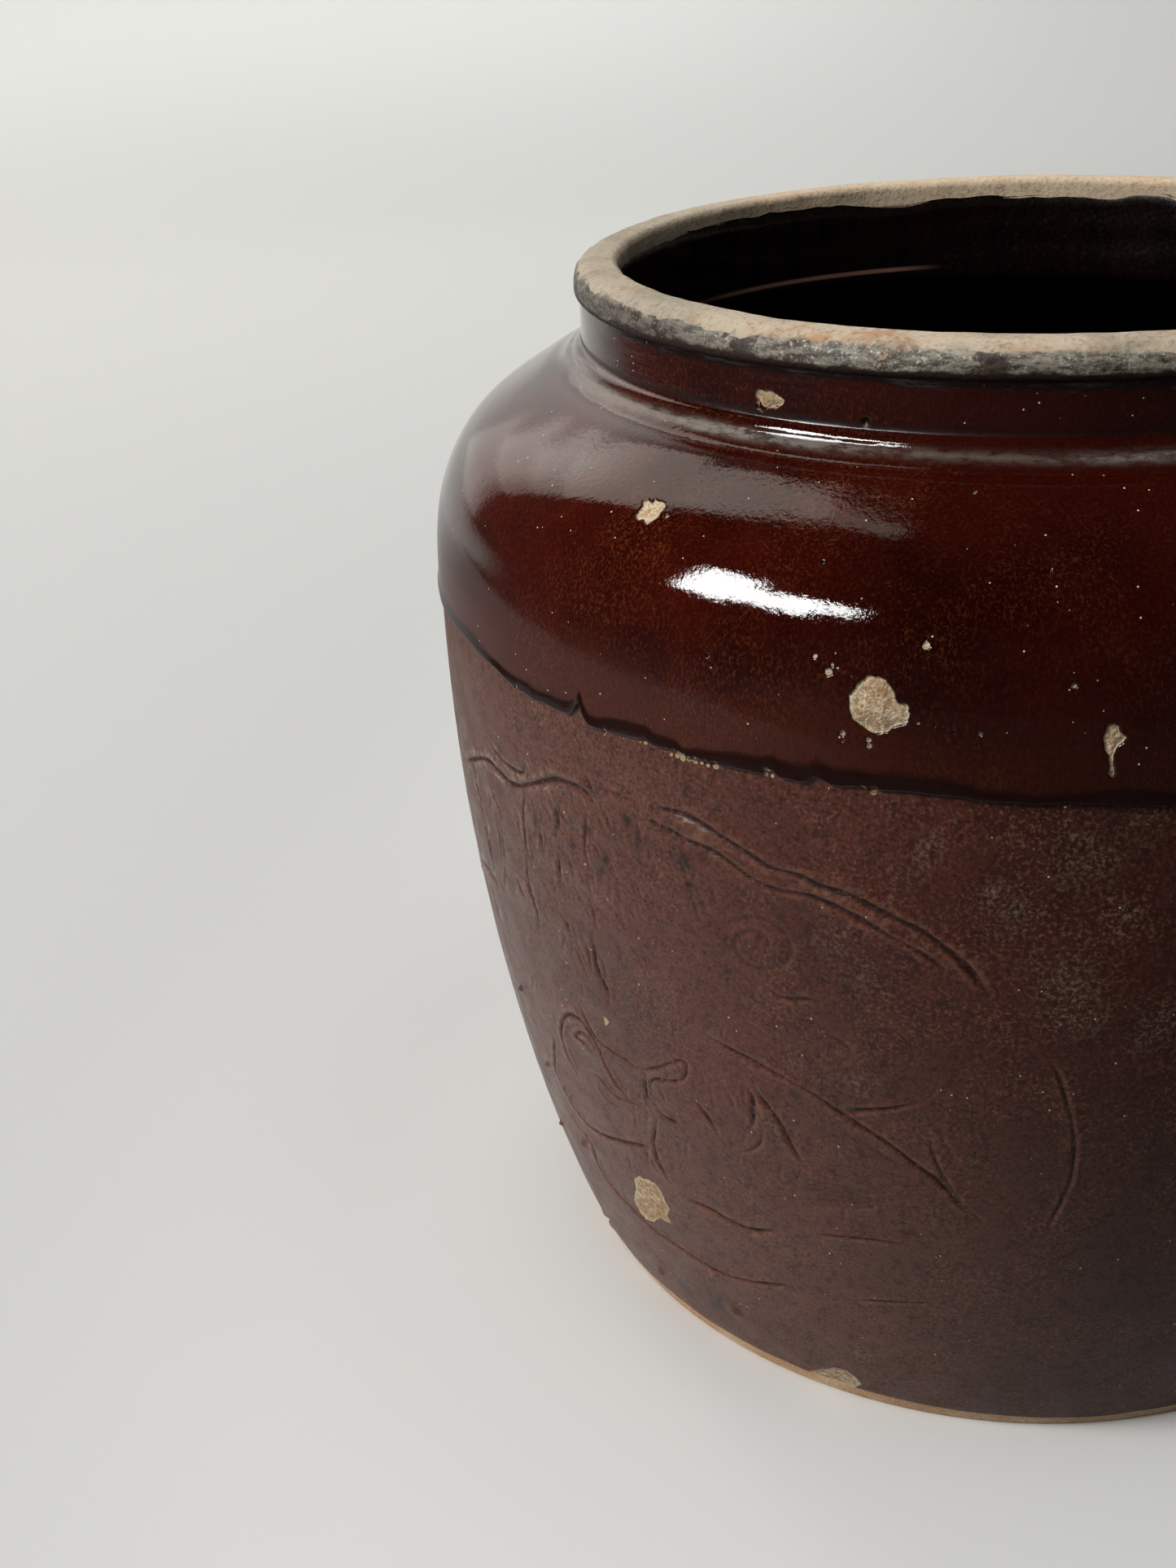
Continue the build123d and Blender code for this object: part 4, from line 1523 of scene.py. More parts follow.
@dataclass(frozen=True)
class PaperFinish:
    """Seamless studio paper, pale to the camera, with painted shade where the jar mirrors it beyond
    the front, left and right, and painted light: a brighter tone at the right front and high on the
    left wall, and a brighter ring round the jar's foot.
    """

    far_tone: Colour = (0.525, 0.525, 0.509, 1.0)
    tone: Colour = (0.735, 0.735, 0.713, 1.0)
    tone_span: tuple[float, float] = (-0.42, 0.06)
    painted_light_tone: Colour = (0.84, 0.838, 0.815, 1.0)
    dark: float = 0.06
    mirrored: float = 0.32
    near_span: tuple[float, float] = (0.35, 0.75)
    left_span: tuple[float, float] = (-1.22, -0.98)
    right_span: tuple[float, float] = (-0.42, 0.20)
    front_span: tuple[float, float] = (-0.84, -0.68)
    wall_span: tuple[float, float] = (-0.35, 0.25)
    back_span: tuple[float, float] = (0.45, 1.1)
    right_way: tuple[float, float] = (-0.8, 0.6)
    left_way: tuple[float, float] = (0.9, 0.35)
    wall_ways: tuple[tuple[float, float], ...] = ((0.57, 0.82), (-0.87, 0.5))
    painted_light_span: tuple[float, float] = (0.25, 0.155)
    painted_light_share: float = 0.75

    def material(self) -> bpy.types.Material:
        """Return the finish as a material."""
        recipe = Recipe("studio_paper")
        x, y, z = recipe.across(), recipe.along(), recipe.height()
        rays = recipe.nodes.new("ShaderNodeLightPath")

        def slant(across: float, along: float) -> Socket:
            """Return a distance measured along a level direction."""
            first = recipe.times(x, across)
            return recipe.plus(first, recipe.times(y, along))

        # Painted shade: rays other than the camera's see the paper dark at the front, far left and
        # right front, and on the walls outside a sector at the back left, as if the room were dark
        # there and the floor at the front right lay in shadow.
        floor = recipe.step(slant(*self.right_way), *self.right_span)
        floor = recipe.times(floor, recipe.step(y, *self.front_span))
        floor = recipe.times(floor, recipe.step(slant(*self.left_way), *self.left_span))
        back = recipe.times(recipe.step(y, *self.back_span), recipe.step(x, 0.3, -0.3))
        floor = recipe.most(floor, back)
        sides = [recipe.step(slant(*way), *self.wall_span) for way in self.wall_ways]
        wall = recipe.times(*sides)
        high = recipe.step(z, 0.0, 0.3)
        painted_shade = recipe.times(floor, recipe.sum("SUBTRACT", 1.0, high))
        painted_shade = recipe.plus(painted_shade, recipe.times(wall, high))
        squares = recipe.plus(recipe.times(x, x), recipe.times(y, y))
        reach = recipe.sum("SQRT", squares, 0.0)
        # Painted shade in reflections: mirrored paper beyond near_span from the axis is dimmed.
        dimmed = recipe.step(reach, *self.near_span, 0.0, 1.0 - self.mirrored)
        dimmed = recipe.times(dimmed, recipe.sum("SUBTRACT", 1.0, back))
        dimmed = recipe.times(rays.outputs["Is Glossy Ray"], dimmed)
        painted_shade = recipe.times(painted_shade, recipe.sum("SUBTRACT", 1.0, dimmed))
        painted_shade = recipe.most(painted_shade, rays.outputs["Is Camera Ray"])
        # The darkest colour of the painted shade.
        low = tuple(channel * self.dark for channel in self.tone[:3]) + (1.0,)
        # Painted light: the tone the camera sees is brighter on the floor at the right front and
        # high on the left wall, and falls to far_tone elsewhere.
        near = recipe.times(recipe.step(x, *self.tone_span), recipe.step(y, 1.2, 0.4))
        upper = recipe.times(high, recipe.step(x, 0.3, -0.9, 0.0, 0.5))
        near = recipe.most(near, upper)
        tone = recipe.blend(near, self.far_tone, self.tone)
        # Painted light: a brighter ring of floor round the jar's foot, weaker on its left side.
        ring = recipe.step(reach, *self.painted_light_span, 0.0, self.painted_light_share)
        ring = recipe.times(ring, recipe.step(x, -0.16, 0.0, 0.4, 1.0))
        tone = recipe.blend(ring, tone, self.painted_light_tone)
        return recipe.dress(recipe.blend(painted_shade, low, tone), 0.9)


# Parts of the jar


@dataclass
class ThrownClay:
    """Marks that the potter's hands left: slow wobble, faint rings and small lumps."""

    line: Profile
    wobble: float = 0.00022
    ring: float = 0.00011
    lump: float = 0.00006

    def at(self, turn: Array, run: Array, places: Array) -> Array:
        """Return how far the surface stands out at each place.

        Args:
            turn: Turn from the front.
            run: Distance along the line; not used.
            places: The same places in space.

        Returns:
            Distances outwards, mostly below zero so that the jar keeps its width.
        """
        height = places[:, 2]
        slow = np.sin(2 * turn + 0.6) * 0.5 + np.sin(3 * turn - 1.1 + height * 9) * 0.3
        slow += Drift(11, 0.07).at(places) * 0.5
        phase = height / 0.0115 + 0.9 * Drift(12, 0.08).at(places)
        rings = np.sin(phase * FULL_TURN) * (0.5 + 0.5 * Drift(13, 0.05).at(places))
        lumps = Drift(14, 0.011).at(places) + 0.5 * Drift(15, 0.0045).at(places)
        out = -self.wobble + self.wobble * slow + self.ring * rings + self.lump * lumps
        return out * ease((height - 0.012) / 0.02)


COAT_EDGE = spots(
    609, 823, 621, 836, 633, 847, 646, 854, 655, 861, 667, 865, 680, 872, 692, 877, 698, 878,
    704, 873, 709, 862, 712, 870, 715, 881, 722, 892, 734, 897, 745, 899, 763, 904, 782, 908,
    793, 910, 801, 917, 812, 920, 828, 924, 837, 933, 854, 934, 872, 939, 887, 942, 900, 944,
    918, 948, 930, 951, 939, 949, 951, 950, 957, 956, 968, 958, 983, 962, 991, 962, 999, 955,
    1010, 959, 1022, 966, 1033, 967, 1052, 967, 1064, 971, 1087, 972, 1110, 973, 1129, 975,
    1142, 977, 1182, 980, 1199, 984, 1250, 987, 1272, 989, 1312, 987, 1369, 989, 1445, 991,
)


@dataclass(frozen=True)
class CoatEdge:
    """Wandering lower edge of the second coat, as heights round the jar."""

    turns: Array
    heights: Array
    level: float = 0.2420
    margin: float = 0.14

    @staticmethod
    def from_photo(camera: PhotoCamera, line: Profile) -> "CoatEdge":
        """Return the edge that the photograph shows, on the second coat's line."""
        spots = camera.on_jar(COAT_EDGE, line)
        order = np.argsort(spots[:, 0])
        return CoatEdge(spots[order, 0], spots[order, 1])

    def at(self, turn: Array) -> Array:
        """Return the edge's height at each turn, free where the photograph ends."""
        ring = on_ring(turn)
        free = self.level + Drift(31, 0.22).at(ring) * 0.0026 + Drift(32, 0.05).at(ring) * 0.0010
        seen = np.interp(turn, self.turns, self.heights)
        known = ease((turn - self.turns[0]) / self.margin + 1)
        known = known * ease((self.turns[-1] - turn) / self.margin + 1)
        return free * (1 - known) + seen * known


@dataclass
class LowerCoat:
    """First coat of glaze over the cut decoration, from foot to shoulder."""

    shape: JarShape
    camera: PhotoCamera
    foot_line: float = 0.0062
    top_height: float = 0.2480
    columns: int = 220
    cell: float = 0.0055
    seen_span: tuple[float, float] = (-1.75, 0.45)
    edge_width: float = 0.0014
    edge_thickness: float = 0.00075
    burr_rise: float = 0.00034
    burr_place: float = 1.5
    burr_spread: float = 0.55
    knob_rise: float = 0.0013
    bare_drop: float = 0.00050
    bare_edge: float = 0.00035
    bare_grain: float = 0.00012
    gutter: float = 0.00035
    gutter_reach: float = 0.0032
    rub_place: float = 0.0009
    rub_reach: float = 0.0006
    depth: float = 0.0016
    seen_cuts: tuple[float, ...] = (0.0046, 0.0026, 0.0013)
    hidden_cuts: tuple[float, ...] = (0.0042, 0.0022, 0.0009)
    seen_chips: tuple[float, ...] = (0.008, 0.005, 0.0028, 0.0012)
    hidden_chips: tuple[float, ...] = (0.006, 0.0035, 0.0014)
    knob_reaches: tuple[float, ...] = (0.008, 0.005, 0.003)

    def low(self, turn: Array) -> Array:
        """Return the run at which the coat begins, above the bare foot."""
        ring = on_ring(turn)
        wave = Drift(21, 0.32).at(ring) * 0.0013 + Drift(22, 0.07).at(ring) * 0.0007
        return self.foot_line + wave

    def focuses(
        self, places: Array, seen: tuple[float, ...], hidden: tuple[float, ...]
    ) -> tuple[Focus, Focus]:
        """Return places as two focuses, finer on the side that the camera sees."""
        turn = np.arctan2(places[:, 0], -places[:, 1])
        near = (turn > self.seen_span[0]) & (turn < self.seen_span[1])
        return Focus(places[near], seen), Focus(places[~near], hidden)

    def build(self) -> Piece:
        """Make the coat."""
        line = self.shape.outline()
        decor = IncisedDecor(self.camera, line)
        cuts = decor.cuts()
        bare = BareClay.of_coat(self.camera, line, FLANK_CHIPS, HIDDEN_FLANK_CHIPS, EDGE_CRUMBS)
        top = float(line.run_at_height(self.top_height))
        first = np.array((0.0, 0.0012, 0.003, 0.006, 0.012, 0.022)) / 4
        rows = np.concatenate((first, np.linspace(0.02, 1.0, int(top / self.cell))))
        sheet = GlazeSheet(
            name="lower_brown_glaze",
            line=line,
            columns=self.columns,
            rows=rows,
            low=self.low,
            high=lambda turn: np.full(len(turn), top),
            depth=self.depth,
            focuses=(
                *self.focuses(cuts.places[::3], self.seen_cuts, self.hidden_cuts),
                *self.focuses(bare.detail(), self.seen_chips, self.hidden_chips),
                Focus(decor.middles(KNOBS), self.knob_reaches),
            ),
        )
        thrown = ThrownClay(line)
        coat_edge = CoatEdge.from_photo(self.camera, self.shape.upper_line())

        def skin(turn: Array, run: Array) -> tuple[Array, dict[str, Array]]:
            """Return the coat's relief, and where it is cut, burred and bare."""
            places = line.place(turn, run, 0.0)
            out = thrown.at(turn, run, places)
            index, gap = cuts.nearest(places)
            ratio = gap / cuts.half_width[index]
            strength = cuts.depth[index] / BLUNT.value[1]
            hollow = held(1.0 - ratio**2) ** 1.5
            burr = hump((ratio - self.burr_place) / self.burr_spread)
            out += -cuts.depth[index] * hollow + self.burr_rise * burr * strength
            out += self.knob_rise * decor.patches(KNOBS, places)
            under = coat_edge.at(turn) - places[:, 2]
            out -= self.gutter * hump(held(under) / self.gutter_reach)
            away = bare.distance(turn, run, places)
            inside = ease(-away / self.bare_edge + 0.5)
            floor = -self.bare_drop + self.bare_grain * Drift(23, 0.003).at(places)
            out = out * (1 - inside) + floor * inside
            rise = held((run - self.low(turn)) / self.edge_width)
            out -= self.edge_thickness * rounded(rise)
            patchy = 0.6 + 0.6 * Drift(24, 0.012).at(places)
            rubbed = hump((under - self.rub_place) / self.rub_reach) * patchy
            values = {
                "smudge": decor.patches(SMUDGES, places),
                "bloom": decor.patches(BLOOMS, places),
                "cut": held(1.0 - ratio) * held(strength),
                "burr": np.maximum(burr * held(strength), rubbed),
                "bare": away / MM,
            }
            return out, values

        piece = sheet.build(skin)
        piece.data.materials.append(LowerGlazeFinish().material())
        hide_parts("body_glaze")
        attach(piece, BODY)
        return piece


@dataclass
class ShoulderCoat:
    """Second, glossy coat over shoulder, bead and neck, ending in a thick rolled edge."""

    shape: JarShape
    camera: PhotoCamera
    columns: int = 480
    slope_rows: int = 34
    collar_rows: int = 44
    edge_samples: int = 700
    slope_from: float = 0.0075
    collar_gap: float = 0.0008
    top_gap: float = 0.0002
    edge_lift: float = 0.0006
    valley_drop: float = 0.0006
    roll_reach: float = 0.0050
    roll_rise: float = 0.00036
    lip_round: float = 0.0005
    lip_drop: float = 0.00026
    thinner: float = 0.00030
    groove: float = 0.00065
    groove_reach: float = 0.0033
    bare_drop: float = 0.00115
    bare_edge: float = 0.0004
    bare_dome: float = 0.0010
    dome_reach: float = 0.005
    pit_depth: float = 0.0008
    bead_rows_from: float = 0.305
    fillet_height: float = 0.0050
    fillet_reach: float = 0.0009
    crest_place: float = 0.0012
    crest_reach: float = 0.0016
    depth: float = 0.0021
    chip_reaches: tuple[float, ...] = (0.006, 0.0035, 0.0015)
    edge_reaches: tuple[float, ...] = (0.0024, 0.0014)

    def build(self) -> Piece:
        """Make the coat."""
        line = self.shape.upper_line()
        coat_edge = CoatEdge.from_photo(self.camera, line)
        level = float(line.run_at_height(coat_edge.level))

        def low(turn: Array) -> Array:
            """Return the run of the rolled edge."""
            return line.run_at_height(coat_edge.at(turn))

        top = line.length - self.top_gap
        hidden = HIDDEN_SHOULDER_CHIPS
        bare = BareClay.of_coat(self.camera, line, SHOULDER_CHIPS, hidden, SHOULDER_SPECKS)
        pits = self.camera.places_of(SHOULDER_PITS, line)
        span = top - level
        roll = np.array((0.0, 0.1, 0.3, 0.6, 1.4, 2.3, 3.3, 4.3, 5.6)) * MM / span
        bead_run = float(line.run_at_height(self.bead_rows_from)) - level
        slope = np.linspace(self.slope_from, bead_run, self.slope_rows) / span
        collar = np.linspace(bead_run + self.collar_gap, span, self.collar_rows) / span
        along = np.linspace(coat_edge.turns[0], coat_edge.turns[-1], self.edge_samples)
        edge = line.place(along, low(along) + self.edge_lift, 0.0)
        sheet = GlazeSheet(
            name="shoulder_gloss_glaze",
            line=line,
            columns=self.columns,
            rows=np.concatenate((roll, slope, collar)),
            low=low,
            high=lambda turn: np.full(len(turn), top),
            depth=self.depth,
            focuses=(
                Focus(np.concatenate((bare.detail(), pits)), self.chip_reaches),
                Focus(edge, self.edge_reaches),
            ),
        )
        thrown = ThrownClay(line, wobble=0.00022, ring=0.00005, lump=0.00002)
        bead_height = self.shape.root_height
        valley = float(line.run_at_height(bead_height - self.valley_drop))

        def skin(turn: Array, run: Array) -> tuple[Array, dict[str, Array]]:
            """Return the coat's relief, and where it is thick, painted with shade, worn and bare.
            """
            places = line.place(turn, run, 0.0)
            out = thrown.at(turn, run, places)
            past = run - low(turn)
            reach = self.roll_reach * (0.8 + 0.35 * Drift(37, 0.016).at(places))
            swell = held(1.0 - past / reach)
            swell = swell + 0.3 * ease(swell) * (1.0 - swell)
            out += self.roll_rise * swell * (0.85 + 0.25 * Drift(33, 0.02).at(places))
            out -= self.thinner * (1 - swell) * ease((0.30 - places[:, 2]) / 0.02)
            below = (valley - run - self.groove_reach) / self.groove_reach
            out -= self.groove * hump(below)
            out -= self.lip_drop * rounded(held(past / self.lip_round))
            away = bare.distance(turn, run, places)
            inside = ease(-away / self.bare_edge + 0.5)
            dome = held(-away / self.dome_reach) * self.bare_dome
            floor = -self.bare_drop + dome + 0.00042 * Drift(34, 0.0026).at(places)
            floor += 0.00018 * Drift(36, 0.0010).at(places)
            out = out * (1 - inside) + np.minimum(floor, out) * inside
            hole = np.zeros(len(turn))
            for pit, (_, size) in zip(pits, SHOULDER_PITS):
                far = np.linalg.norm(places - pit, axis=1) / (size * MM)
                hole = np.maximum(hole, hump(far))
            out -= self.pit_depth * hole
            height = places[:, 2]
            # Thick dark glaze along the rolled edge, with painted shade under the roll.
            lip = ease((reach + 1.0 * MM - past) / (2.2 * MM))
            # Painted shade in the fillet above the bead.
            fillet = hump((height - bead_height - self.fillet_height) / self.fillet_reach)
            lip = np.maximum(lip, 0.8 * fillet)
            crest = hump((run - valley - self.crest_place) / self.crest_reach)
            left = 0.5 * ease((-turn - 0.6) / 0.5) * crest
            patch = 0.7 + 0.5 * Drift(35, 0.03).at(places)
            # The pits are darkened too, as painted shade.
            values = {
                "lip": np.maximum(lip, hole),
                "worn": held(crest * patch + left),
                "bare": away / MM,
            }
            return out, values

        piece = sheet.build(skin)
        piece.data.materials.append(ShoulderGlazeFinish().material())
        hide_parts("shoulder_glaze")
        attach(piece, BODY)
        return piece


@dataclass
class RolledRim:
    """Rolled clay rim with its thin worn wash."""

    shape: JarShape
    outer_round: float = 0.0060
    inner_round: float = 0.0025
    under_round: float = 0.0024
    sunk: float = 0.00035
    stands_out: float = 0.00027
    steps: int = 360
    waves: tuple[tuple[int, float, float], ...] = ((2, 0.4, 0.00035), (5, 1.9, 0.0002))
    wash_drop: float = 0.0020
    wash_fade: float = 0.0010
    face_width: float = 0.0058
    face_fade: float = 0.0012

    def uneven(self, bm: Mesh) -> None:
        """Move the rim's vertices by its slow waves and small dents."""
        places = np.array([vert.co for vert in bm.verts])
        turn = np.arctan2(places[:, 0], -places[:, 1])
        height = (places[:, 2] - self.shape.rim_low) / (self.shape.top - self.shape.rim_low)
        radius = np.hypot(places[:, 0], places[:, 1])
        slow = sum(size * np.sin(count * turn + phase) for count, phase, size in self.waves)
        lumps = 0.00034 * Drift(41, 0.014).at(places) + 0.00022 * Drift(42, 0.005).at(places)
        radius_moved = radius + (slow + lumps) * ease(height * 1.6)
        sag = 0.00035 * (1 + Drift(43, 0.05).at(places))
        sag = sag + 0.0002 * (1 + Drift(44, 0.007).at(places))
        lowered = places[:, 2] - sag * ease(height * 1.4)
        for index, vert in enumerate(bm.verts):
            scale = radius_moved[index] / radius[index]
            vert.co = (places[index, 0] * scale, places[index, 1] * scale, lowered[index])

    def clay_section(self) -> Array:
        """Return the section of the clay roll."""
        shape = self.shape
        inner, outer, low, top = shape.throat_radius, shape.rim_radius, shape.rim_low, shape.top
        start = (outer - self.under_round, low + self.under_round)
        under = arc(start, self.under_round, -90, 0, 6)
        over = arc((outer - self.outer_round, top - self.outer_round), self.outer_round, 0, 90, 12)
        lip = arc((inner + self.inner_round, top - self.inner_round), self.inner_round, 90, 180, 7)
        upright = top - low - self.inner_round
        side = [(inner, low + share * upright) for share in (0.66, 0.33, 0.0)]
        bottom = [(inner + share * (outer - inner), low) for share in (0.3, 0.6)]
        flat_end, flat_start = over[-1], lip[0]
        wide = flat_start[0] - flat_end[0]
        flat = [(flat_end[0] + share * wide, top) for share in (0.25, 0.5, 0.75)]
        return np.array(under + over + flat + lip + side + bottom)

    def rolled(self) -> Mesh:
        """Return the uneven roll, which the wash follows too."""
        bm = spun_section(self.clay_section(), self.steps)
        self.uneven(bm)
        return bm

    def build(self) -> list[Piece]:
        """Make the roll and its wash."""
        roll = finished_object("rim_roll_clay", self.rolled())
        roll.data.materials.append(RimFinish().material(washed=False))
        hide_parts("rim_roll")
        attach(roll, BODY)
        wash = self.rolled()
        self.spread(wash)
        skin = finished_object("rim_wash_skin", wash)
        skin.data.materials.append(RimFinish().material(washed=True))
        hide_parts("rim_wash")
        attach(skin, BODY)
        return [roll, skin]

    def spread(self, bm: Mesh) -> None:
        """Lift the wash off the clay on the rim's face and sink it elsewhere."""
        places = np.array([vert.co for vert in bm.verts])
        bm.normal_update()
        normals = np.array([vert.normal for vert in bm.verts])
        height = places[:, 2]
        radius = np.hypot(places[:, 0], places[:, 1])
        ragged = 0.0020 * Drift(45, 0.016).at(places) + 0.0011 * Drift(46, 0.004).at(places)
        reach = (self.shape.top - self.wash_drop + ragged - height) / self.wash_fade
        outside = ease((radius - self.shape.rim_radius + self.face_width) / self.face_fade)
        out = -self.sunk + (self.sunk + self.stands_out) * ease(reach) * outside
        for index, vert in enumerate(bm.verts):
            vert.co = places[index] + normals[index] * out[index]


@dataclass
class Lining:
    """Glaze on floor, inner wall and throat, with a ragged upper edge."""

    shape: JarShape
    columns: int = 300
    top_height: float = 0.3340
    edge_width: float = 0.0016
    edge_thickness: float = 0.0010
    throat_from: float = 0.30
    floor_fade: float = 0.03
    dips: tuple[tuple[float, float, float], ...] = (
        (0.42, 0.16, 0.0022),
        (-0.20, 0.05, 0.0012),
        (-0.47, 0.05, 0.0030),
        (2.7, 0.06, 0.0030),
    )

    def build(self) -> Piece:
        """Make the lining."""
        shape = self.shape
        inset = shape.first_coat + shape.wall + shape.inner_coat
        line = shape.inner_line(inset, shape.mouth_radius, shape.floor + shape.inner_coat)
        throat = line.points[:, 1] > self.throat_from
        heights, runs = line.points[throat, 1], line.run[throat]

        def high(turn: Array) -> Array:
            """Return the run of the ragged upper edge."""
            ring = on_ring(turn)
            edge = self.top_height + 0.0007 * Drift(51, 0.16).at(ring)
            edge = edge + 0.0006 * Drift(52, 0.04).at(ring)
            for middle, width, drop in self.dips:
                far = math.pi + middle
                offset = (turn - far + math.pi) % FULL_TURN - math.pi
                edge = edge - drop * hump(offset / width)
            return np.interp(edge, heights, runs)

        floor_rows = np.linspace(0.0, 0.30, 16)
        wall_rows = np.linspace(0.32, 0.90, 40)
        throat_rows = np.linspace(0.908, 1.0, 22)
        sheet = GlazeSheet(
            name="inner_glaze_lining",
            line=line,
            columns=self.columns,
            rows=np.concatenate((floor_rows, wall_rows, throat_rows)),
            low=lambda turn: np.zeros(len(turn)),
            high=high,
            depth=shape.inner_coat,
        )
        thrown = ThrownClay(line, wobble=0.00012, ring=0.00022, lump=0.00008)

        def skin(turn: Array, run: Array) -> tuple[Array, dict[str, Array]]:
            """Return the lining's relief."""
            places = line.place(turn, run, 0.0)
            radius = np.hypot(places[:, 0], places[:, 1])
            out = thrown.at(turn, run, places) * ease(radius / self.floor_fade)
            out -= self.edge_thickness * rounded(held((high(turn) - run) / self.edge_width))
            return out, {}

        piece = sheet.build(skin)
        piece.data.materials.append(LiningFinish().material())
        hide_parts("inner_glaze")
        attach(piece, BODY)
        return piece


@dataclass
class ClayWalls:
    """Walls between the coats, with room left outside them for the cuts and chips."""

    shape: JarShape
    room: float = 0.0016
    seam: float = 0.1500
    slip: float = 0.0012
    bevel: float = 0.0050
    top_gap: float = 0.0040
    row: float = 0.003
    steps: int = 128

    @property
    def top(self) -> float:
        """Return the height at which the upper wall ends, in the neck's root."""
        return self.shape.root_height - self.top_gap

    def wall(self, name: str, node: str, low: float, high: float) -> Piece:
        """Make one turned wall between two bevelled heights, in place of a node."""
        outline = self.shape.outline()
        inset = self.shape.first_coat + self.shape.wall
        outer = np.stack(outline.at(outline.run, -self.room), axis=1)
        inner = np.stack(outline.at(outline.run, -inset), axis=1)
        inner = inner[inner[:, 0] >= self.shape.throat_radius]
        lift = self.bevel if low > self.shape.floor else 0.0
        drop = self.bevel if high < self.top else 0.0
        count = max(2, int((high - low) / self.row))
        rise = np.linspace(low, high, count)
        back = np.linspace(min(high + drop, inner[-1, 1]), low + lift, count)
        outer_side = np.stack((np.interp(rise, outer[:, 1], outer[:, 0]), rise), axis=1)
        inner_side = np.stack((np.interp(back, inner[:, 1], inner[:, 0]), back), axis=1)
        section = np.concatenate((outer_side, inner_side))
        piece = finished_object(name, spun_section(section, self.steps))
        piece.data.materials.append(ClayFinish().material())
        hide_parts(node)
        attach(piece, BODY)
        return piece

    def build(self) -> list[Piece]:
        """Make both walls and the slip between them."""
        upper = self.seam + self.slip
        return [
            self.wall("lower_wall_clay", "lower_wall", self.shape.floor, self.seam),
            self.wall("belly_seam_clay", "belly_seam_slip", self.seam, upper),
            self.wall("upper_wall_clay", "upper_wall", upper, self.top),
        ]


@dataclass
class BareNodes:
    """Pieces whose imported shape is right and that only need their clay."""

    names: tuple[str, ...] = ("base_slab", "base_corner_coil", "neck_bead", "neck_collar")
    pale: Colour = paint(238, 204, 168)
    warm: Colour = paint(218, 172, 130)

    def build(self) -> list[Piece]:
        """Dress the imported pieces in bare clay."""
        clay = ClayFinish(pale=self.pale, warm=self.warm).material()
        pieces = [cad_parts[name] for name in self.names]
        for piece in pieces:
            piece.data.materials.clear()
            piece.data.materials.append(clay)
        return pieces


# Studio


WHITE = (1.0, 1.0, 1.0)
WARM = (1.0, 0.90, 0.81)


@dataclass(frozen=True)
class Pane:
    """One pane of the window, by its direction from the jar and its size, in degrees."""

    turn: float
    rise: float
    wide: float
    high: float
    glow: float
    tint: tuple[float, float, float] = WHITE


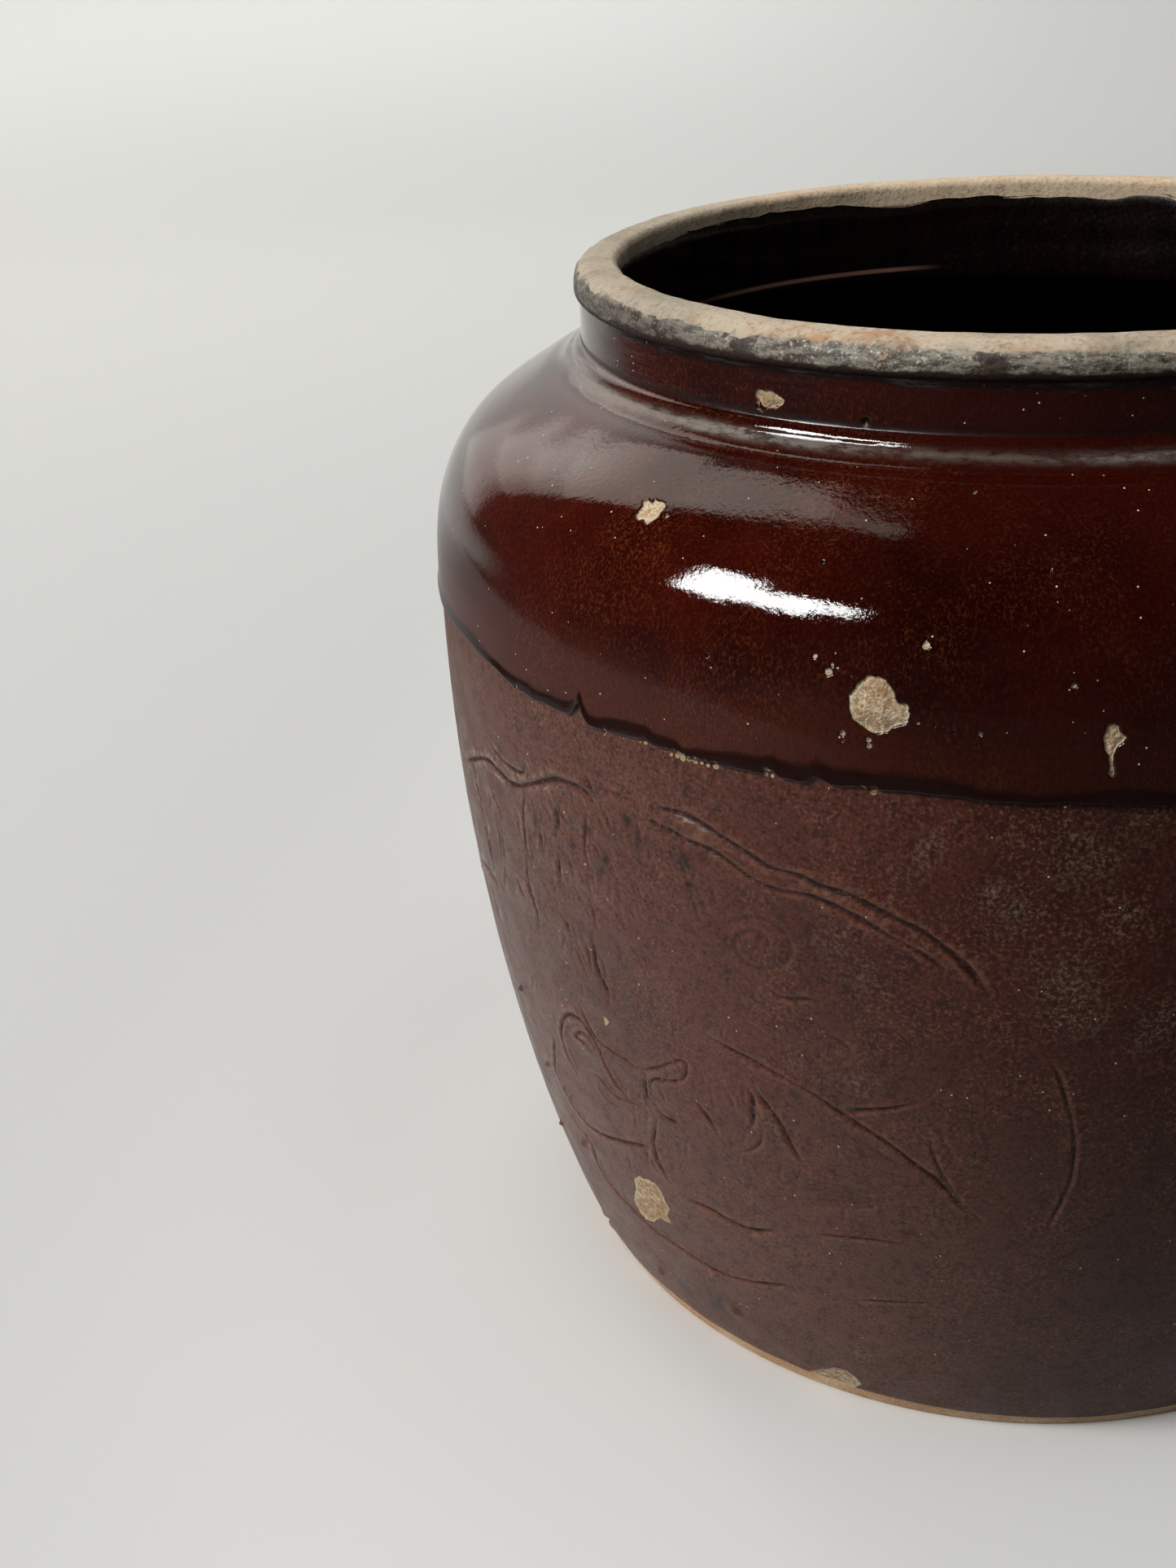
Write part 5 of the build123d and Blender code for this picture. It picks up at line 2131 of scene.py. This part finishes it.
@dataclass
class Studio:
    """Round bowl of pale paper, lit by a window at the front left and soft fill."""

    floor_radius: float = 2.4
    cove: float = 0.8
    wall_top: float = 5.6
    fill: float = 0.22
    mirrored: float = 0.015
    window_reach: float = 3.0
    target: tuple[float, float, float] = (-0.06, -0.17, 0.283)
    panes: tuple[Pane, ...] = (
        Pane(-64.0, 37.0, 11.0, 15.0, 24.0),
        Pane(-50.0, 37.0, 17.0, 8.0, 24.0),
        Pane(-37.0, 38.5, 11.0, 4.5, 24.0),
        Pane(-125.0, 73.0, 4.5, 8.0, 1.1, WARM),
        Pane(-125.5, 59.0, 5.4, 19.0, 1.9, WARM),
        Pane(-128.0, 41.0, 12.0, 17.0, 1.6, WARM),
        Pane(-129.5, 29.0, 15.0, 8.0, 1.1, WARM),
        Pane(-131.5, 20.5, 19.0, 9.5, 0.75, WARM),
        Pane(-134.0, 8.5, 22.0, 16.0, 0.42, WARM),
    )

    def bowl(self) -> Piece:
        """Make the floor and the wall round it in one sweep."""
        rim = self.floor_radius + self.cove
        corner = arc((self.floor_radius, self.cove), self.cove, -90, 0, 16)
        section = [(0.0, 0.0), (0.6, 0.0), (1.2, 0.0)] + corner + [(rim, self.wall_top)]
        bm = spun_section(np.array(section), 96, closed=False)
        bmesh.ops.reverse_faces(bm, faces=bm.faces[:])
        stage = finished_object("studio_bowl", bm)
        stage.data.materials.append(PaperFinish().material())
        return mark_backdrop(stage)

    def lamp(
        self,
        name: str,
        place: tuple[float, float, float],
        size: tuple[float, float],
        watts: float,
        mirrored: bool,
        aim: tuple[float, float, float] = (0.0, 0.0, 0.18),
    ) -> Piece:
        """Hang one soft rectangular lamp, turned towards a place."""
        data = bpy.data.lights.new(name, "AREA")
        data.shape = "RECTANGLE"
        data.size, data.size_y = size
        data.energy = watts
        lamp = bpy.data.objects.new(name, data)
        lamp.location = place
        lamp.rotation_euler = (Vector(aim) - Vector(place)).to_track_quat("-Z", "Y").to_euler()
        lamp.visible_glossy = mirrored
        lamp.visible_camera = False
        bpy.context.scene.collection.objects.link(lamp)
        return lamp

    def window(self) -> None:
        """Hang the window's panes where the glossy shoulder mirrors them."""
        for number, pane in enumerate(self.panes):
            turn, rise = math.radians(pane.turn), math.radians(pane.rise)
            level = self.window_reach * math.cos(rise)
            offset = (
                level * math.sin(turn),
                -level * math.cos(turn),
                self.window_reach * math.sin(rise),
            )
            place = tuple(a + b for a, b in zip(self.target, offset))
            wide = 2 * self.window_reach * math.tan(math.radians(pane.wide / 2))
            high = 2 * self.window_reach * math.tan(math.radians(pane.high / 2))
            watts = pane.glow * math.pi * wide * high
            lamp = self.lamp(f"window_pane_{number}", place, (wide, high), watts, True, self.target)
            lamp.data.color = pane.tint

    def room(self) -> None:
        """Light the scene faintly from all sides, and more faintly where it is mirrored."""
        world = bpy.data.worlds.new("studio_room")
        bpy.context.scene.world = world
        world.use_nodes = True
        nodes, links = world.node_tree.nodes, world.node_tree.links
        rays = nodes.new("ShaderNodeLightPath")
        blend = nodes.new("ShaderNodeMapRange")
        blend.inputs["To Min"].default_value = self.fill
        blend.inputs["To Max"].default_value = self.mirrored
        links.new(rays.outputs["Is Glossy Ray"], blend.inputs["Value"])
        links.new(blend.outputs["Result"], nodes["Background"].inputs["Strength"])
        nodes["Background"].inputs["Color"].default_value = (1.0, 0.98, 0.96, 1.0)

    def build(self) -> None:
        """Make the bowl, the lamps and the dim room above them."""
        self.bowl()
        self.window()
        self.lamp("top_softbox", (0.1, -0.5, 3.2), (2.6, 2.6), 41.0, False)
        self.lamp("backdrop_wash", (-0.9, 1.4, 2.6), (2.0, 0.6), 54.0, False, (-1.1, 3.2, 0.9))
        self.room()
        bpy.context.scene.view_settings.view_transform = "Standard"


def main() -> None:
    """Build the camera, the jar's pieces and the studio, and note the sizes."""
    logging.basicConfig(level=logging.INFO, format="%(name)s: %(message)s")
    shape = JarShape()
    camera = PhotoCamera()
    camera.build()
    LOG.info("camera in place")
    pieces: list[Piece] = []
    pieces += ClayWalls(shape).build()
    pieces += BareNodes().build()
    pieces.append(LowerCoat(shape, camera).build())
    pieces.append(ShoulderCoat(shape, camera).build())
    pieces += RolledRim(shape).build()
    pieces.append(Lining(shape).build())
    for piece in pieces:
        triangles = sum(len(face.vertices) - 2 for face in piece.data.polygons)
        LOG.info("%s: %d triangles", piece.name, triangles)
    Studio().build()


if __name__ == "__main__":
    main()
